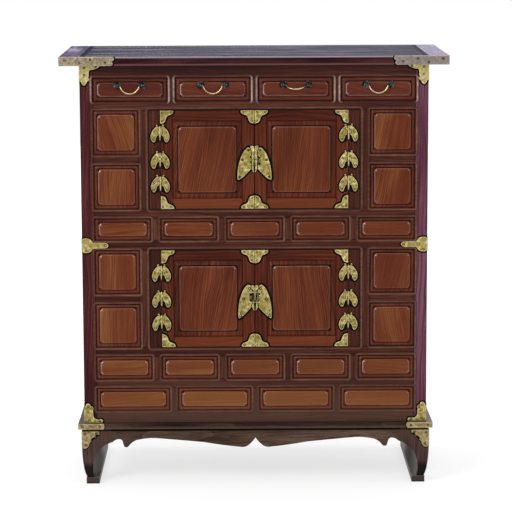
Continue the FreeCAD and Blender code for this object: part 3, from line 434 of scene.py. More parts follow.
def dome(piece, face, across, up, radius, height, mark, base, wear=0.0):
    loops = []
    for level in range(DOME_LEVELS + 1):
        turn = math.radians(86 * level / DOME_LEVELS)
        ring = radius * math.cos(turn)
        out = base + height * math.sin(turn)
        loops.append([face.at(across + ring * x, up + ring * y, out) for x, y in circle(DOME_AROUND)])
    piece.rings(loops, mark, wear)


def nail(piece, face, across, up, size=1.0, shine=1.0):
    """A domed brass head in a dark ring, on a plate."""
    dome(piece, face, across, up, 3.6 * size, 0.3, DARK, PLATE_THICK)
    dome(piece, face, across, up, 1.7 * size, 0.9, BRASS, PLATE_THICK + 0.1, shine)


def tube(piece, path, radii, marks=0, around=10, wear=0.0):
    """A round rod along a path, with one radius or one at each point."""
    points = [Vector(point) for point in path]
    loops = []
    side = None
    for number, point in enumerate(points):
        before = points[max(number - 1, 0)]
        after = points[min(number + 1, len(points) - 1)]
        ahead = (after - before).normalized()
        if side is None:
            helper = Vector((0, 0, 1)) if abs(ahead.z) < 0.9 else Vector((0, 1, 0))
            side = ahead.cross(helper).normalized()
        side = (side - ahead * side.dot(ahead)).normalized()
        other = ahead.cross(side)
        radius = radii[number] if isinstance(radii, list) else radii
        loops.append([tuple(point + side * (radius * x) + other * (radius * y)) for x, y in circle(around)])
    piece.rings(loops, marks, wear)


def lathe(piece, centre, axis, profile, mark=0, around=16, wear=0.0):
    """A turned shape: (radius, height) pairs along an axis."""
    main = Vector(axis).normalized()
    side = main.cross(Vector((0.3, 0.5, 1))).normalized()
    other = main.cross(side)
    start = Vector(centre)
    loops = [
        [tuple(start + main * height + side * (radius * x) + other * (radius * y)) for x, y in circle(around)]
        for radius, height in profile
    ]
    piece.rings(loops, mark, wear)


# Materials

class Shader:
    """A node tree in the making, of a material or of the world."""

    def __init__(self, owner, output="OutputMaterial"):
        owner.use_nodes = True
        self.owner = owner
        self.tree = owner.node_tree
        self.tree.nodes.clear()
        self.out = self.node(output)

    def put(self, socket, value):
        """Link a socket or set it; a colour of three numbers is opaque."""
        if isinstance(value, bpy.types.NodeSocket):
            self.tree.links.new(value, socket)
        else:
            socket.default_value = (*value, 1) if socket.type == "RGBA" else value

    def node(self, kind, **inputs):
        """A node; i0 is its first socket, and an underscore in a socket's name stands for a space."""
        item = self.tree.nodes.new("ShaderNode" + kind)
        for name, value in inputs.items():
            place = int(name[1:]) if name[0] == "i" else name.replace("_", " ")
            self.put(item.inputs[place], value)
        return item

    def math(self, operation, first, second=0.0):
        item = self.node("Math", i0=first, i1=second)
        item.operation = operation
        return item.outputs[0]

    def times(self, first, second):
        return self.math("MULTIPLY", first, second)

    def plus(self, first, second):
        return self.math("ADD", first, second)

    def swing(self, value, amount):
        """How far a value lies from one half, times an amount."""
        return self.times(self.math("SUBTRACT", value, 0.5), amount)

    def mix(self, share, first, second, blend="MIX"):
        """Two colours mixed by a share that is held between 0 and 1."""
        item = self.node("Mix")
        item.data_type = "RGBA"
        item.blend_type = blend
        item.clamp_factor = True
        for number, value in ((0, share), (6, first), (7, second)):
            self.put(item.inputs[number], value)
        return item.outputs[2]

    def ramp(self, share, *stops):
        item = self.node("ValToRGB", Fac=share)
        elements = item.color_ramp.elements
        while len(elements) < len(stops):
            elements.new(0.5)
        for element, (place, colour) in zip(elements, stops):
            element.position = place
            element.color = (*colour, 1) if isinstance(colour, tuple) else (colour, colour, colour, 1)
        return item.outputs[0]

    def fade(self, value, start, end, low, high):
        """From low to high while the value goes from start to end."""
        item = self.node("MapRange", Value=value, From_Min=start, From_Max=end, To_Min=low, To_Max=high)
        return item.outputs[0]

    def scaled(self, vector, scale):
        return self.node("Mapping", Vector=vector, Scale=scale).outputs[0]

    def noise(self, vector, scale, detail=3.0, roughness=0.5):
        """Noise with one scale, or with one for each axis."""
        if isinstance(scale, tuple):
            vector = self.scaled(vector, scale)
            scale = 1.0
        item = self.node("TexNoise", Vector=vector, Scale=scale, Detail=detail, Roughness=roughness)
        return item.outputs["Fac"]

    def attribute(self, name, output="Fac"):
        item = self.node("Attribute")
        item.attribute_name = name
        return item.outputs[output]

    def parts(self, source="Object"):
        """X, Y and Z of the place in metres, or of the normal."""
        return self.node("SeparateXYZ", Vector=self.node("TexCoord").outputs[source]).outputs

    def grain(self, axis):
        """Coordinates with the grain along X: the mesh's own, or from an axis of the chest."""
        if axis == "own":
            return self.attribute("grain", "Vector")
        parts = self.parts()
        order = {"x": "XYZ", "y": "YXZ", "z": "ZXY"}[axis]
        return self.node("CombineXYZ", **{name: parts[part] for name, part in zip("XYZ", order)}).outputs[0]

    def toned(self, colour, light, dark):
        """A colour mixed with the light or the dark one by the mesh's own tone."""
        tone = self.attribute("tone")
        return self.mix(self.times(tone, -1.0), self.mix(tone, colour, light), dark)

    def camera_rays(self):
        """1 where the camera looks, also by way of a mirror or glass."""
        rays = self.node("LightPath").outputs
        seen = self.math("MAXIMUM", rays["Is Camera Ray"], rays["Is Glossy Ray"])
        return self.math("MAXIMUM", seen, rays["Is Transmission Ray"])

    def finish(self, colour, rough, height, strength, depth, **extra):
        relief = self.node("Bump", Strength=strength, Distance=depth, Height=height).outputs[0]
        surface = self.node("BsdfPrincipled", Base_Color=colour, Roughness=rough, Normal=relief, **extra)
        return self.close(surface)

    def close(self, surface):
        self.put(self.out.inputs[0], surface.outputs[0])
        return self.owner


def new_material(name):
    return Shader(bpy.data.materials.new(name))


def wood(name, dark, middle, light, axis="own", ring=26.0, figure=0.3, streak=0.5, gloss=0.36, shine=0.05,
         worn_and_highlight=(0.56, 0.42, 0.38), bands=()):
    """Lacquered wood: growth rings, fibres and pores along the grain, painted shade in hollows and gaps,
    and worn edges with painted highlights.

    A band tints the wood along an axis: axis, where it is full and where it ends in metres, share, tint.
    """
    shader = new_material(name)
    vector = shader.grain(axis)
    drift = shader.swing(shader.noise(vector, (1.6, 7.0, 7.0)), 0.09)
    bent = shader.node("VectorMath", i0=vector, i1=shader.node("CombineXYZ", Y=drift).outputs[0]).outputs[0]
    waves = shader.node("TexWave", Vector=shader.scaled(bent, (0.08, 1.0, 0.7)), Scale=ring, Distortion=2.0,
                        Detail=2.0, Detail_Scale=2.0, Detail_Roughness=0.6)
    waves.bands_direction = "Y"
    waves.wave_profile = "SAW"
    fibres = shader.noise(bent, (5.0, 300.0, 240.0), 5.0, 0.62)
    blotch = shader.noise(vector, (2.6, 12.0, 12.0))
    body = shader.plus(shader.swing(waves.outputs["Fac"], figure), shader.swing(fibres, 2.2 * streak))
    body = shader.plus(shader.plus(body, shader.swing(blotch, 1.1)), 0.5)
    colour = shader.ramp(body, (0.12, dark), (0.5, middle), (0.9, light))
    pores = shader.noise(bent, (34.0, 1500.0, 1200.0), 2.0)
    colour = shader.mix(1.0, colour, shader.ramp(pores, (0.30, 0.55), (0.42, 1.0)), "MULTIPLY")
    if axis == "own":
        colour = shader.toned(colour, light, dark)
        # The wear value lightens towards the worn colour as rubbed wear with a painted highlight, and below
        # nought darkens towards black as painted shade.
        wear = shader.attribute("wear")
        patches = shader.plus(shader.noise(vector, (9.0, 9.0, 9.0), 2.0), 0.5)
        rubbed_and_lit = shader.times(shader.noise(vector, (40.0, 90.0, 90.0)), patches)
        colour = shader.mix(shader.times(shader.times(wear, 1.9), rubbed_and_lit), colour, worn_and_highlight)
        colour = shader.mix(shader.times(wear, -0.85), colour, (0.012, 0.006, 0.005))
    for direction, full, none, amount, tint in bands:
        colour = shader.mix(shader.fade(shader.parts()[direction], full, none, amount, 0.0), colour, tint)
    rough = shader.plus(gloss, shader.swing(blotch, 0.25))
    return shader.finish(colour, rough, shader.plus(fibres, pores), 0.15, 0.0006, Specular_IOR_Level=shine)


def metal(name, dark, middle, light, spot, metallic=0.85, gloss=0.38, shine=0.5, beige=None, tint=None):
    """Old sheet metal: cloudy patina, fine brushing, tarnish spots, and polished edges with painted
    highlights.
    """
    shader = new_material(name)
    vector = shader.attribute("grain", "Vector")
    cloud = shader.noise(vector, 120.0, 4.0, 0.62)
    brush = shader.noise(vector, 540.0, 4.0, 0.7)
    body = shader.plus(shader.times(cloud, 0.8), shader.times(brush, 0.2))
    colour = shader.ramp(body, (0.34, dark), (0.50, middle), (0.655, light))
    if beige:
        patch = shader.noise(vector, (75.0, 52.5, 75.0), 2.0)
        colour = shader.mix(shader.ramp(patch, (0.50, 0.0), (0.66, 0.6)), colour, beige)
    spots = shader.noise(vector, 190.0, 3.0, 0.7)
    colour = shader.mix(shader.ramp(spots, (0.60, 0.0), (0.70, 0.85)), colour, spot)
    # A piece's tone lightens it towards tint, which paints a highlight on the top brackets and a purple-grey
    # sheen on the right straps.
    colour = shader.toned(colour, tint or light, dark)
    # The wear value paints a highlight with polish above nought, and shade below it.
    wear = shader.attribute("wear")
    colour = shader.mix(shader.times(wear, cloud), colour, light)
    colour = shader.mix(shader.times(wear, -0.8), colour, spot)
    rough = shader.plus(gloss, shader.swing(brush, 0.4))
    return shader.finish(colour, rough, body, 0.35, 0.0004, Metallic=metallic, Specular_IOR_Level=shine)


def top_wood(name, end):
    """The top: dark boards painted with a slate-blue reflection in cloudy streaks, blackened seams,
    and red-brown edges with painted highlight lines.
    """
    shader = new_material(name)
    vector = shader.grain("y" if end else "x")
    place = shader.parts()
    streaks = shader.noise(vector, (4.5, 30.0, 30.0), 5.0, 0.62)
    fibres = shader.noise(vector, (8.0, 420.0, 420.0), 3.0, 0.6)
    blend = shader.plus(shader.times(streaks, 0.85), shader.times(fibres, 0.15))
    if end:
        surface = shader.ramp(
            blend, (0.36, (0.034, 0.024, 0.070)), (0.5, (0.122, 0.100, 0.176)), (0.62, (0.31, 0.28, 0.37)))
        # The right end board takes a paler painted reflection.
        surface = shader.mix(shader.fade(place["X"], -0.1, 0.1, 0.0, 0.5), surface, (0.44, 0.41, 0.55))
    else:
        surface = shader.ramp(
            blend, (0.36, (0.010, 0.008, 0.024)), (0.5, (0.038, 0.032, 0.062)), (0.63, (0.150, 0.142, 0.182)))
        # A paler painted sheen in streaks towards the left of the main boards.
        pale_sheen = shader.fade(place["X"], -0.47, -0.12, 0.14, 0.0)
        patch = shader.times(pale_sheen, shader.ramp(blend, (0.44, 0.0), (0.58, 1.0)))
        surface = shader.mix(patch, surface, (0.30, 0.29, 0.33))
        seams = (shader.math("ABSOLUTE", place["X"]), 0.491, 0.0085), (place["Y"], 0.128, 0.005)
        for value, centre, half in seams:
            gap = shader.math("ABSOLUTE", shader.math("SUBTRACT", value, centre))
            mask = shader.fade(gap, 0.7 * half, half, 0.92, 0.0)
            surface = shader.mix(mask, surface, (0.003, 0.002, 0.013))
    edge = shader.ramp(
        blend, (0.35, (0.014, 0.004, 0.006)), (0.5, (0.031, 0.0095, 0.013)), (0.65, (0.066, 0.022, 0.024)))
    # Painted highlight lines along the lower and the upper edge of the front.
    edge = shader.mix(shader.fade(place["Z"], 1.2335, 1.2365, 0.75, 0.0), edge, (0.17, 0.075, 0.060))
    edge = shader.mix(shader.fade(place["Z"], 1.2505, 1.2530, 0.0, 1.0), edge, (0.31, 0.255, 0.275))
    # Upward faces take the painted reflection, the others the edge's colours.
    upward = shader.ramp(shader.parts("Normal")["Z"], (0.86, 0.0), (0.97, 1.0))
    rough = shader.plus(0.36, shader.times(streaks, 0.25))
    colour = shader.mix(upward, edge, surface)
    return shader.finish(colour, rough, blend, 0.2, 0.0006, Specular_IOR_Level=0.001)


# Bands that tint a wood
# Painted shade on the top rail just under the top board
SHADE_UNDER_TOP = ("Z", 1.226, 1.196, 0.45, (0.046, 0.024, 0.029))
NEAR_STAND = ("Z", 0.205, 0.330, 0.55, (0.088, 0.053, 0.036))
# A painted highlight line along the bottom rail's lower edge
RAIL_FOOT_HIGHLIGHT = ("Z", 0.1862, 0.1872, 0.4, (0.150, 0.100, 0.068))
# Painted light from the floor on the stand board's lower, rounded edge
BOARD_EDGE_FLOOR_LIGHT = ("Z", 0.1700, 0.1765, 0.62, (0.118, 0.072, 0.052))
KNEE = ("Z", 0.148, 0.104, 0.8, (0.078, 0.046, 0.032))
# A painted grey sheen on the legs towards the back
BACK_LEG_SHEEN = ("Y", 0.06, -0.10, 0.72, (0.062, 0.061, 0.071))
BLACK_FOOT = ("Z", 0.052, 0.068, 0.94, (0.009, 0.006, 0.007))
RUNNER_END = ("Y", -0.2168, -0.2155, 0.92, (0.066, 0.041, 0.040))
# Painted shade at the runner's foot on the floor
RUNNER_FLOOR_SHADE = ("Z", 0.0020, 0.0060, 0.5, (0.01, 0.006, 0.006))
# A painted highlight along the runner's top edge
RUNNER_TOP_HIGHLIGHT = ("Z", 0.0176, 0.0158, 0.45, (0.20, 0.17, 0.16))
RAIL_COLOURS = ((0.024, 0.006, 0.005), (0.058, 0.0145, 0.0095), (0.115, 0.040, 0.025))

post_wood = wood("post_wood", (0.020, 0.004, 0.006), (0.056, 0.0118, 0.0125), (0.125, 0.033, 0.036),
                 streak=0.7)
# A lighter, purple-lit copy of the post wood for the right post: painted light
post_right_lit = wood("right_post_painted_light_wood", (0.052, 0.014, 0.024), (0.116, 0.036, 0.056), (0.215, 0.090, 0.135),
                  streak=0.7)
rail_wood = wood("rail_wood", *RAIL_COLOURS, figure=0.25, streak=0.6,
                 bands=(SHADE_UNDER_TOP, NEAR_STAND, RAIL_FOOT_HIGHLIGHT))
bead_wood = wood("bead_wood", *RAIL_COLOURS, figure=0.25, streak=0.6, worn_and_highlight=(0.42, 0.27, 0.185),
                 bands=(NEAR_STAND,))
frame_red = wood("door_frame_wood", (0.034, 0.006, 0.004), (0.083, 0.0172, 0.0085), (0.190, 0.048, 0.019),
                 streak=0.58)
border_red = wood("border_wood", (0.055, 0.011, 0.007), (0.112, 0.026, 0.0145), (0.19, 0.055, 0.031),
                  figure=0.2, worn_and_highlight=(0.60, 0.40, 0.32))
field_red = wood("door_panel_wood", (0.050, 0.010, 0.005), (0.118, 0.0275, 0.0125), (0.23, 0.066, 0.024),
                 figure=0.4, ring=80.0, worn_and_highlight=(0.70, 0.52, 0.44))
field_brown = wood("row_panel_wood", (0.085, 0.018, 0.007), (0.138, 0.031, 0.0132), (0.26, 0.102, 0.034),
                   figure=0.15, ring=60.0, streak=0.42, worn_and_highlight=(0.74, 0.54, 0.44))
drawer_red = wood("drawer_wood", (0.056, 0.012, 0.008), (0.112, 0.0262, 0.0150), (0.17, 0.048, 0.026),
                  ring=70.0, streak=0.55, worn_and_highlight=(0.66, 0.52, 0.44))
top_main = top_wood("top_wood", False)
top_end = top_wood("top_end_wood", True)
stand_x = wood("stand_wood_long", (0.026, 0.014, 0.010), (0.076, 0.045, 0.031), (0.155, 0.098, 0.068), "x",
               streak=0.6)
stand_board = wood("stand_board_wood", (0.012, 0.006, 0.005), (0.040, 0.020, 0.015), (0.090, 0.050, 0.036),
                   "x", bands=(BOARD_EDGE_FLOOR_LIGHT,))
# The runner's grey is a painted reflection of the white backdrop on dark lacquer; its front end keeps a brown
# wood colour
runner_sheen_wood = wood("runner_sheen_wood", (0.030, 0.027, 0.030), (0.064, 0.061, 0.066), (0.11, 0.105, 0.11), "y",
                   bands=(RUNNER_END, RUNNER_FLOOR_SHADE, RUNNER_TOP_HIGHLIGHT))
stand_z = wood("stand_wood_leg", (0.024, 0.012, 0.012), (0.069, 0.036, 0.034), (0.14, 0.084, 0.074), "z",
               figure=0.25, bands=(KNEE, BACK_LEG_SHEEN, BLACK_FOOT))
side_y = wood("side_rail_wood", (0.026, 0.009, 0.008), (0.055, 0.018, 0.014), (0.10, 0.036, 0.026), "y")
side_z = wood("side_panel_wood", (0.060, 0.016, 0.009), (0.105, 0.028, 0.014), (0.155, 0.048, 0.023), "z",
              streak=0.35, figure=0.2)
plain_x, plain_y, plain_z = [
    wood(f"plain_wood_{word}", (0.20, 0.125, 0.065), (0.34, 0.23, 0.13), (0.46, 0.33, 0.20), axis, gloss=0.55,
         shine=0.3)
    for axis, word in (("x", "long"), ("y", "deep"), ("z", "upright"))
]
brass = metal("aged_brass", (0.136, 0.094, 0.018), (0.290, 0.230, 0.052), (0.70, 0.61, 0.29),
              (0.050, 0.028, 0.008), beige=(0.37, 0.275, 0.135), tint=(0.66, 0.56, 0.27))
dull_brass = metal("dull_brass", (0.100, 0.073, 0.025), (0.248, 0.190, 0.080), (0.52, 0.42, 0.22),
                   (0.045, 0.027, 0.012), beige=(0.34, 0.26, 0.15))
# Its tint is the purple-grey of a painted sheen, given to the straps on the right
grey_brass = metal("worn_brass", (0.115, 0.088, 0.052), (0.255, 0.208, 0.128), (0.48, 0.41, 0.30),
                   (0.055, 0.038, 0.03), beige=(0.30, 0.245, 0.20), tint=(0.17, 0.142, 0.172))
bail_brass = metal("bail_brass", (0.30, 0.20, 0.07), (0.56, 0.42, 0.19), (0.80, 0.66, 0.42),
                   (0.14, 0.08, 0.03), gloss=0.28)
iron = metal("blackened_iron", (0.003, 0.0025, 0.0025), (0.005, 0.004, 0.004), (0.22, 0.20, 0.19),
             (0.004, 0.003, 0.002), metallic=0.0, gloss=0.42, shine=0.05)
# Black, for painted shadow round plates and between parts, and for black details
black_and_shadow = metal("black_and_painted_shadow", (0.004, 0.003, 0.003), (0.006, 0.004, 0.004), (0.010, 0.007, 0.006),
                 (0.003, 0.002, 0.002), metallic=0.0, gloss=0.6, shine=0.03)

CAD_FINISHES = {
    "stand_board": stand_board, "stand_legs": stand_z, "stand_aprons": stand_x, "stand_runners": runner_sheen_wood,
    "side_rails": side_y, "side_panels": side_z, "back_frame": side_z, "back_panels": plain_z,
    "drawer_deck": plain_x, "middle_shelf": plain_x, "bottom_board": plain_x, "door_stops": side_y,
    "top_boards": top_main, "top_end_boards": top_end,
    **{f"drawer_box_{number}": plain_y for number in range(1, 5)},
}
for name, finish in CAD_FINISHES.items():
    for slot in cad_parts[name].material_slots:
        slot.material = finish


# The frame of the body

def columns(count):
    """Spans of equal openings between the posts, and of the muntins between them."""
    divider = MUNTIN_WIDTHS[count]
    width = (2 * POST_INNER - (count - 1) * divider) / count
    starts = [-POST_INNER + number * (width + divider) for number in range(count)]
    openings = [(start, start + width) for start in starts]
    return openings, [(left[1], right[0]) for left, right in zip(openings, openings[1:])]


four_openings, four_dividers = columns(4)
five_openings, five_dividers = columns(5)

posts = Piece("posts", "carcass", "frame_wood", [post_wood, post_right_lit], ["corner_posts"])
for side in SIDES.values():
    x = mirrored(side, POST_INNER, BODY_HALF)
    z = (ROWS["bottom_rail"][0], ROWS["top_rail"][1])
    # The right post gets the copy with painted light
    bar(posts, x, z, True, POST_DEPTH, mark=1 if side > 0 else 0)
    bar(posts, x, z, True, POST_DEPTH, front=BACK, facing=1)

rails = Piece("rails", "carcass", "frame_wood", [rail_wood], ["front_rails"])
for name, tone in (("bottom_rail", 0.1), ("row_rail", 0.1), ("lower_sill", 0.0), ("mid_rail", 0.0),
                   ("upper_sill", 0.0), ("drawer_rail", 0.1), ("top_rail", -0.1)):
    bar(rails, (-POST_INNER, POST_INNER), ROWS[name], False, RAIL_DEPTH, tone)

beads = Piece("opening_beads", "carcass", "frame_wood", [rail_wood, bead_wood])
muntins = Piece("muntins", "carcass", "frame_wood", [rail_wood], ["front_muntins"])
for name, dividers, openings, options in (
        ("drawer_row", four_dividers, four_openings, {"shine": DRAWER_HIGHLIGHT, "mark": 0, "gap": 1.4}),
        ("low_row", four_dividers, four_openings, {"shine": LOW_HIGHLIGHT}),
        ("waist_row", five_dividers, five_openings, {}),
        ("short_row", five_dividers, five_openings, {})):
    for x in dividers:
        bar(muntins, x, ROWS[name], True, RAIL_DEPTH, draw.uniform(0.0, 0.25))
    for x in openings:
        bead(beads, x, ROWS[name], **options)

tier_bars = Piece("tier_bars", "carcass", "frame_wood", [rail_wood, frame_red], ["tier_frames"])
squares = Piece("square_fields", "carcass", "panel_wood", [field_brown, border_red], ["square_panels"])
for tier in TIERS:
    low, high = ROWS[f"{tier}_tier"]
    middle = (low + high) / 2
    outer = HINGE_LINE + STRIP_WIDTH
    cross_rail = (middle - CROSS_RAIL_HALF, middle + CROSS_RAIL_HALF)
    bead(beads, (-outer, outer), (low, high), DOOR_HIGHLIGHT, gap=2.6)
    for side in SIDES.values():
        bar(tier_bars, mirrored(side, outer, outer + STILE_WIDTH), (low, high), True, RAIL_DEPTH, 0.15)
        bar(tier_bars, mirrored(side, HINGE_LINE, outer), (low, high), True, RAIL_DEPTH, -0.1)
        x = mirrored(side, outer + STILE_WIDTH, POST_INNER)
        bar(tier_bars, x, cross_rail, False, RAIL_DEPTH)
        for z in ((low, cross_rail[0]), (cross_rail[1], high)):
            bead(beads, x, z)
            panel(squares, x, z, "square", draw.uniform(62, 118), draw.uniform(-0.1, 0.1))

row_fields = Piece("row_fields", "carcass", "panel_wood", [field_brown, border_red], ["row_panels"])
for name, openings, kind, tone in (
        ("waist_row", five_openings, "row", 0.03), ("short_row", five_openings, "row", 0.22),
        ("low_row", four_openings, "low", 0.42)):
    for x in openings:
        panel(row_fields, x, ROWS[name], kind, draw.uniform(-5, 5), tone + draw.uniform(-0.08, 0.08))

# Black strips of painted shadow in the gap between the stand's board and its aprons
gap_shadows = Piece("stand_gap_shadows", "carcass", "stand_wood", [black_and_shadow])
GAP_OUT = 0.5
GAP_HALF = 1.0
GAP_REACH = 424.0
GAP_HEIGHT = 6.8
KNEE_REACH = 84


def gap_shadow_block(x, y):
    corners = [(x[0], y[0]), (x[1], y[0]), (x[1], y[1]), (x[0], y[1])]
    gap_shadows.rings([[(across, deep, up) for across, deep in corners] for up in (LEG_TOP, LEG_TOP + GAP_HEIGHT)])


for edge, facing in ((LEG_FRONT, -1), (LEG_BACK, 1)):
    outer = edge - facing * (APRON_SETBACK - GAP_OUT)
    gap_shadow_block((-GAP_REACH, GAP_REACH), (outer - GAP_HALF, outer + GAP_HALF))
for side in SIDES.values():
    outer = side * (LEG_HALF - APRON_SETBACK + GAP_OUT)
    gap_shadow_block((outer - GAP_HALF, outer + GAP_HALF), (LEG_FRONT + KNEE_REACH, LEG_BACK - KNEE_REACH))


# Brass on the body, with the places of its nails

straps = Piece("body_mounts", "carcass", "brass", [brass, black_and_shadow], ["body_brasses"])
stand_brasses = Piece("stand_brasses", "carcass", "brass", [dull_brass, black_and_shadow])
grey_straps = Piece("edge_straps", "carcass", "brass", [grey_brass, black_and_shadow])
body_nails = Piece("body_nails", "carcass", "iron", [brass, black_and_shadow], ["frame_nails"])

TOP_STRAP = outline(
    (0, 0), (148, 0), [(152.5, 3), (153, 8), (150, 12.5)], [(155, 15), (157, 20), (154.5, 26)], (0, 26))
TOP_NAILS = ((17, 17), (58, 8), (89, 18), (131, 10))
STAND_STRAP = outline((0, 0), (73, 0), [(75, 4), (75.5, 8.5), (75, 13), (73, 17)], (0, 17))
STAND_NAILS = ((12, 8.5), (62, 8.5))
# Angle brackets, from the corner: the arm lies along the rail, and the leg along the post
TOP_BRACKET = outline(
    (0, 0), (59, 0),
    [(57, -5), (50, -9), (40, -12.5), (31, -14), (27.5, -18)],
    [(27, -30), (25.5, -36)],
    [(28, -40), (26, -45), (21.5, -47)],
    [(19.5, -53), (13, -58), (6.5, -53), (4.5, -47)],
    [(1.0, -46), (0, -42)],
)
TOP_BRACKET_NAILS = ((48, -5), (14, -8), (13, -28))
FOOT_BRACKET = outline(
    (0, 0), (52, 0),
    [(54, 5), (51, 10.5)],
    [(40, 9.5), (31, 12), (26.5, 18)],
    [(25.5, 30), (25, 38)],
    [(26.5, 43), (23.5, 48), (19, 49)],
    [(16, 55.5), (11, 57.5), (6, 55.5), (3, 49)],
    [(0.6, 47.5), (0, 44)],
)
FOOT_BRACKET_NAILS = ((11, 48), (21.5, 43), (14, 8), (44, 5.5))
LEG_PLATE = outline(
    (0, 0), (51, 0),
    [(50.5, -6), (51, -11)],
    [(45, -12), (42, -15), (41, -20)],
    [(34, -21), (29.5, -25), (28.5, -31)],
    [(24, -33), (21.5, -37), (20.5, -43)],
    [(14, -50), (6, -52), (0, -49)],
)
LEG_NAILS = ((9, -8), (42, -6), (12, -40))
WAIST_STRAP = outline(
    (0, 17), [(4, 20.5), (13, 21.5), (24, 18.5), (31, 10)],
    [(36, 8.6), (66, 8.2)],
    [(73, 5.5), (76.5, 0), (73, -5.5), (66, -8.2)],
    [(36, -8.6), (31, -10)],
    [(24, -18.5), (13, -21.5), (4, -20.5), (0, -17)],
)
WAIST_NAILS = ((11, -15), (69, 0))


def mounted(piece, faces, loop, nails, limit, tone=0.0, shine=1.0, shadow_skirt=4.4):
    """A plate with its nails on each face of a corner."""
    for face in faces:
        plate(piece, face, loop, limit, shadow_skirt=shadow_skirt, tone=tone)
        for across, up in nails:
            nail(body_nails, face, across, up, shine=shine)


for side in SIDES.values():
    for facing, y_edge in ((-1, TOP_FRONT), (1, TOP_BACK)):
        # The straps on the right are toned towards a purple-grey painted sheen
        mounted(grey_straps, both_faces(side, TOP_HALF, y_edge, ROWS["top"][0], facing), TOP_STRAP, TOP_NAILS,
                held(0, 0, 160, 26), 0.6 if side > 0 else 0.0, -0.5)
    mounted(stand_brasses, both_faces(side, STAND_HALF, STAND_FRONT, ROWS["stand_board"][0]), STAND_STRAP,
            STAND_NAILS, held(0, 0, 78, 17), 0.0, -0.3)
    # The top brackets are toned paler: a painted highlight
    mounted(straps, both_faces(side, BODY_HALF, FRONT, ROWS["top_rail"][1]), TOP_BRACKET, TOP_BRACKET_NAILS,
            held(0, -70, 70, 0), 0.25)
    mounted(straps, both_faces(side, BODY_HALF, FRONT, ROWS["bottom_rail"][0]), FOOT_BRACKET,
            FOOT_BRACKET_NAILS, held(0, 0, 70, 70))
    mounted(straps, both_faces(side, BODY_HALF, FRONT, sum(ROWS["mid_rail"]) / 2), WAIST_STRAP, WAIST_NAILS,
            held(0, -30, 90, 30), -0.12)
    mounted(stand_brasses, both_faces(side, LEG_HALF, LEG_FRONT, LEG_TOP), LEG_PLATE, LEG_NAILS,
            held(0, -70, 70, 0), 0.12 if side > 0 else 0.0, -0.3, shadow_skirt=2.6)


# Butterfly hinges: half a butterfly, across measured from the pin and up from the top of its body

WING = outline(
    (3.6, -1.5),
    [(9, -0.6), (16, -6), (22.5, -14.5), (26.5, -25), (26.6, -35), (22.5, -43.5), (17.5, -46.5)],
    [(14.5, -43), (12, -37), (10, -31)],
    [(7.5, -27.5), (3.6, -26)],
)
FEELER = outline(
    (3.8, -1.2), (6.4, 1.0), [(7.2, 4.0), (9.6, 5.0), (11.6, 3.0), (10.4, 0.6)], [(7.5, -1.5), (3.8, -1.2)])
# Black sheets of painted shadow between the wings' tails and round the head
TAIL_SHADOW = outline((3.0, -24), (12, -30), [(15.5, -38), (16, -46)], [(11, -48), (3.0, -45)])
HEAD_SHADOW = outline((3.0, -2), (12, -1), [(13.5, 3), (11, 6.6), (3.0, 5.5)])
WING_NAILS = ((17, -17.5), (19.5, -38.5))
WING_LINES = (
    ((6, -9), (7.5, -18), (6.5, -25)), ((11.5, -27), (14.5, -33), (15.8, -40.5)),
    ((23.6, -28), (24.4, -34), (22.2, -40)),
)
WING_TOP = 24.5
LEAF_NEAR = 3.0
PIN_OUT = 3.0
PIN_DROP = 16
# Turned shapes: radius, height
PIN = (
    (0.2, 0), (1.0, 0.8), (2.0, 4), (2.3, 12), (2.1, 17.6), (1.2, 18), (1.2, 39.2), (2.4, 39.4), (2.6, 40.4),
    (1.6, 41.6), (0.3, 42),
)
KNUCKLE_LENGTH = 6.6
KNUCKLE_GAP = 0.3
KNUCKLE_RISE = 2.6
KNUCKLE = (
    (1.3, 0), (2.2, 0), (2.5, 0.4), (2.5, KNUCKLE_LENGTH - 0.4), (2.2, KNUCKLE_LENGTH), (1.3, KNUCKLE_LENGTH))
# The tab that joins a knuckle to its wing: distance from the pin, and place of its back
TAB = ((2.0, FRONT - 0.6), (4.4, FRONT))
TAB_THICK = 1.2
HINGE_PLACES = (-72.5, -4, 72.5)


def hinge_heights(tier):
    middle = sum(ROWS[f"{tier}_tier"]) / 2
    return [middle + place for place in HINGE_PLACES]


def half_hinge(piece, nails, x, z, towards, places):
    """One wing with its knuckles, for the strip or for the door."""
    face = front_face(x, z + WING_TOP, towards)
    # Painted shadow behind the butterfly, as black sheets
    for shadow_sheet in (TAIL_SHADOW, HEAD_SHADOW):
        piece.rings([[face.at(across, up, out) for across, up in shadow_sheet] for out in (0.0, 0.25)], DARK)
    plate(piece, face, WING, past(LEAF_NEAR))
    plate(piece, face, FEELER, past(LEAF_NEAR), shadow_skirt=0.8, edge=0.3)
    for across, up in WING_NAILS:
        nail(nails, face, across, up, size=0.9)
    for line in WING_LINES:
        tube(piece, [face.at(across, up, 1.05) for across, up in line], 0.65, DARK, around=6)
    for place in places:
        start = z + KNUCKLE_RISE + place * (KNUCKLE_LENGTH + KNUCKLE_GAP)
        end = start + KNUCKLE_LENGTH
        lathe(piece, (x, FRONT - PIN_OUT, start), (0, 0, 1), KNUCKLE, wear=0.5)
        section = ((0.0, start), (0.0, end), (TAB_THICK, end), (TAB_THICK, start))
        piece.rings([[(x + towards * reach, y - thick, up) for thick, up in section] for reach, y in TAB])


frame_hinges = Piece("strip_hinges", "carcass", "brass", [brass, black_and_shadow], ["frame_hinges"])
for tier in TIERS:
    for side in SIDES.values():
        for z in hinge_heights(tier):
            x = side * HINGE_LINE
            half_hinge(frame_hinges, body_nails, x, z, side, (0, 2))
            lathe(frame_hinges, (x, FRONT - PIN_OUT, z - PIN_DROP), (0, 0, 1), PIN, wear=0.6)


# Doors

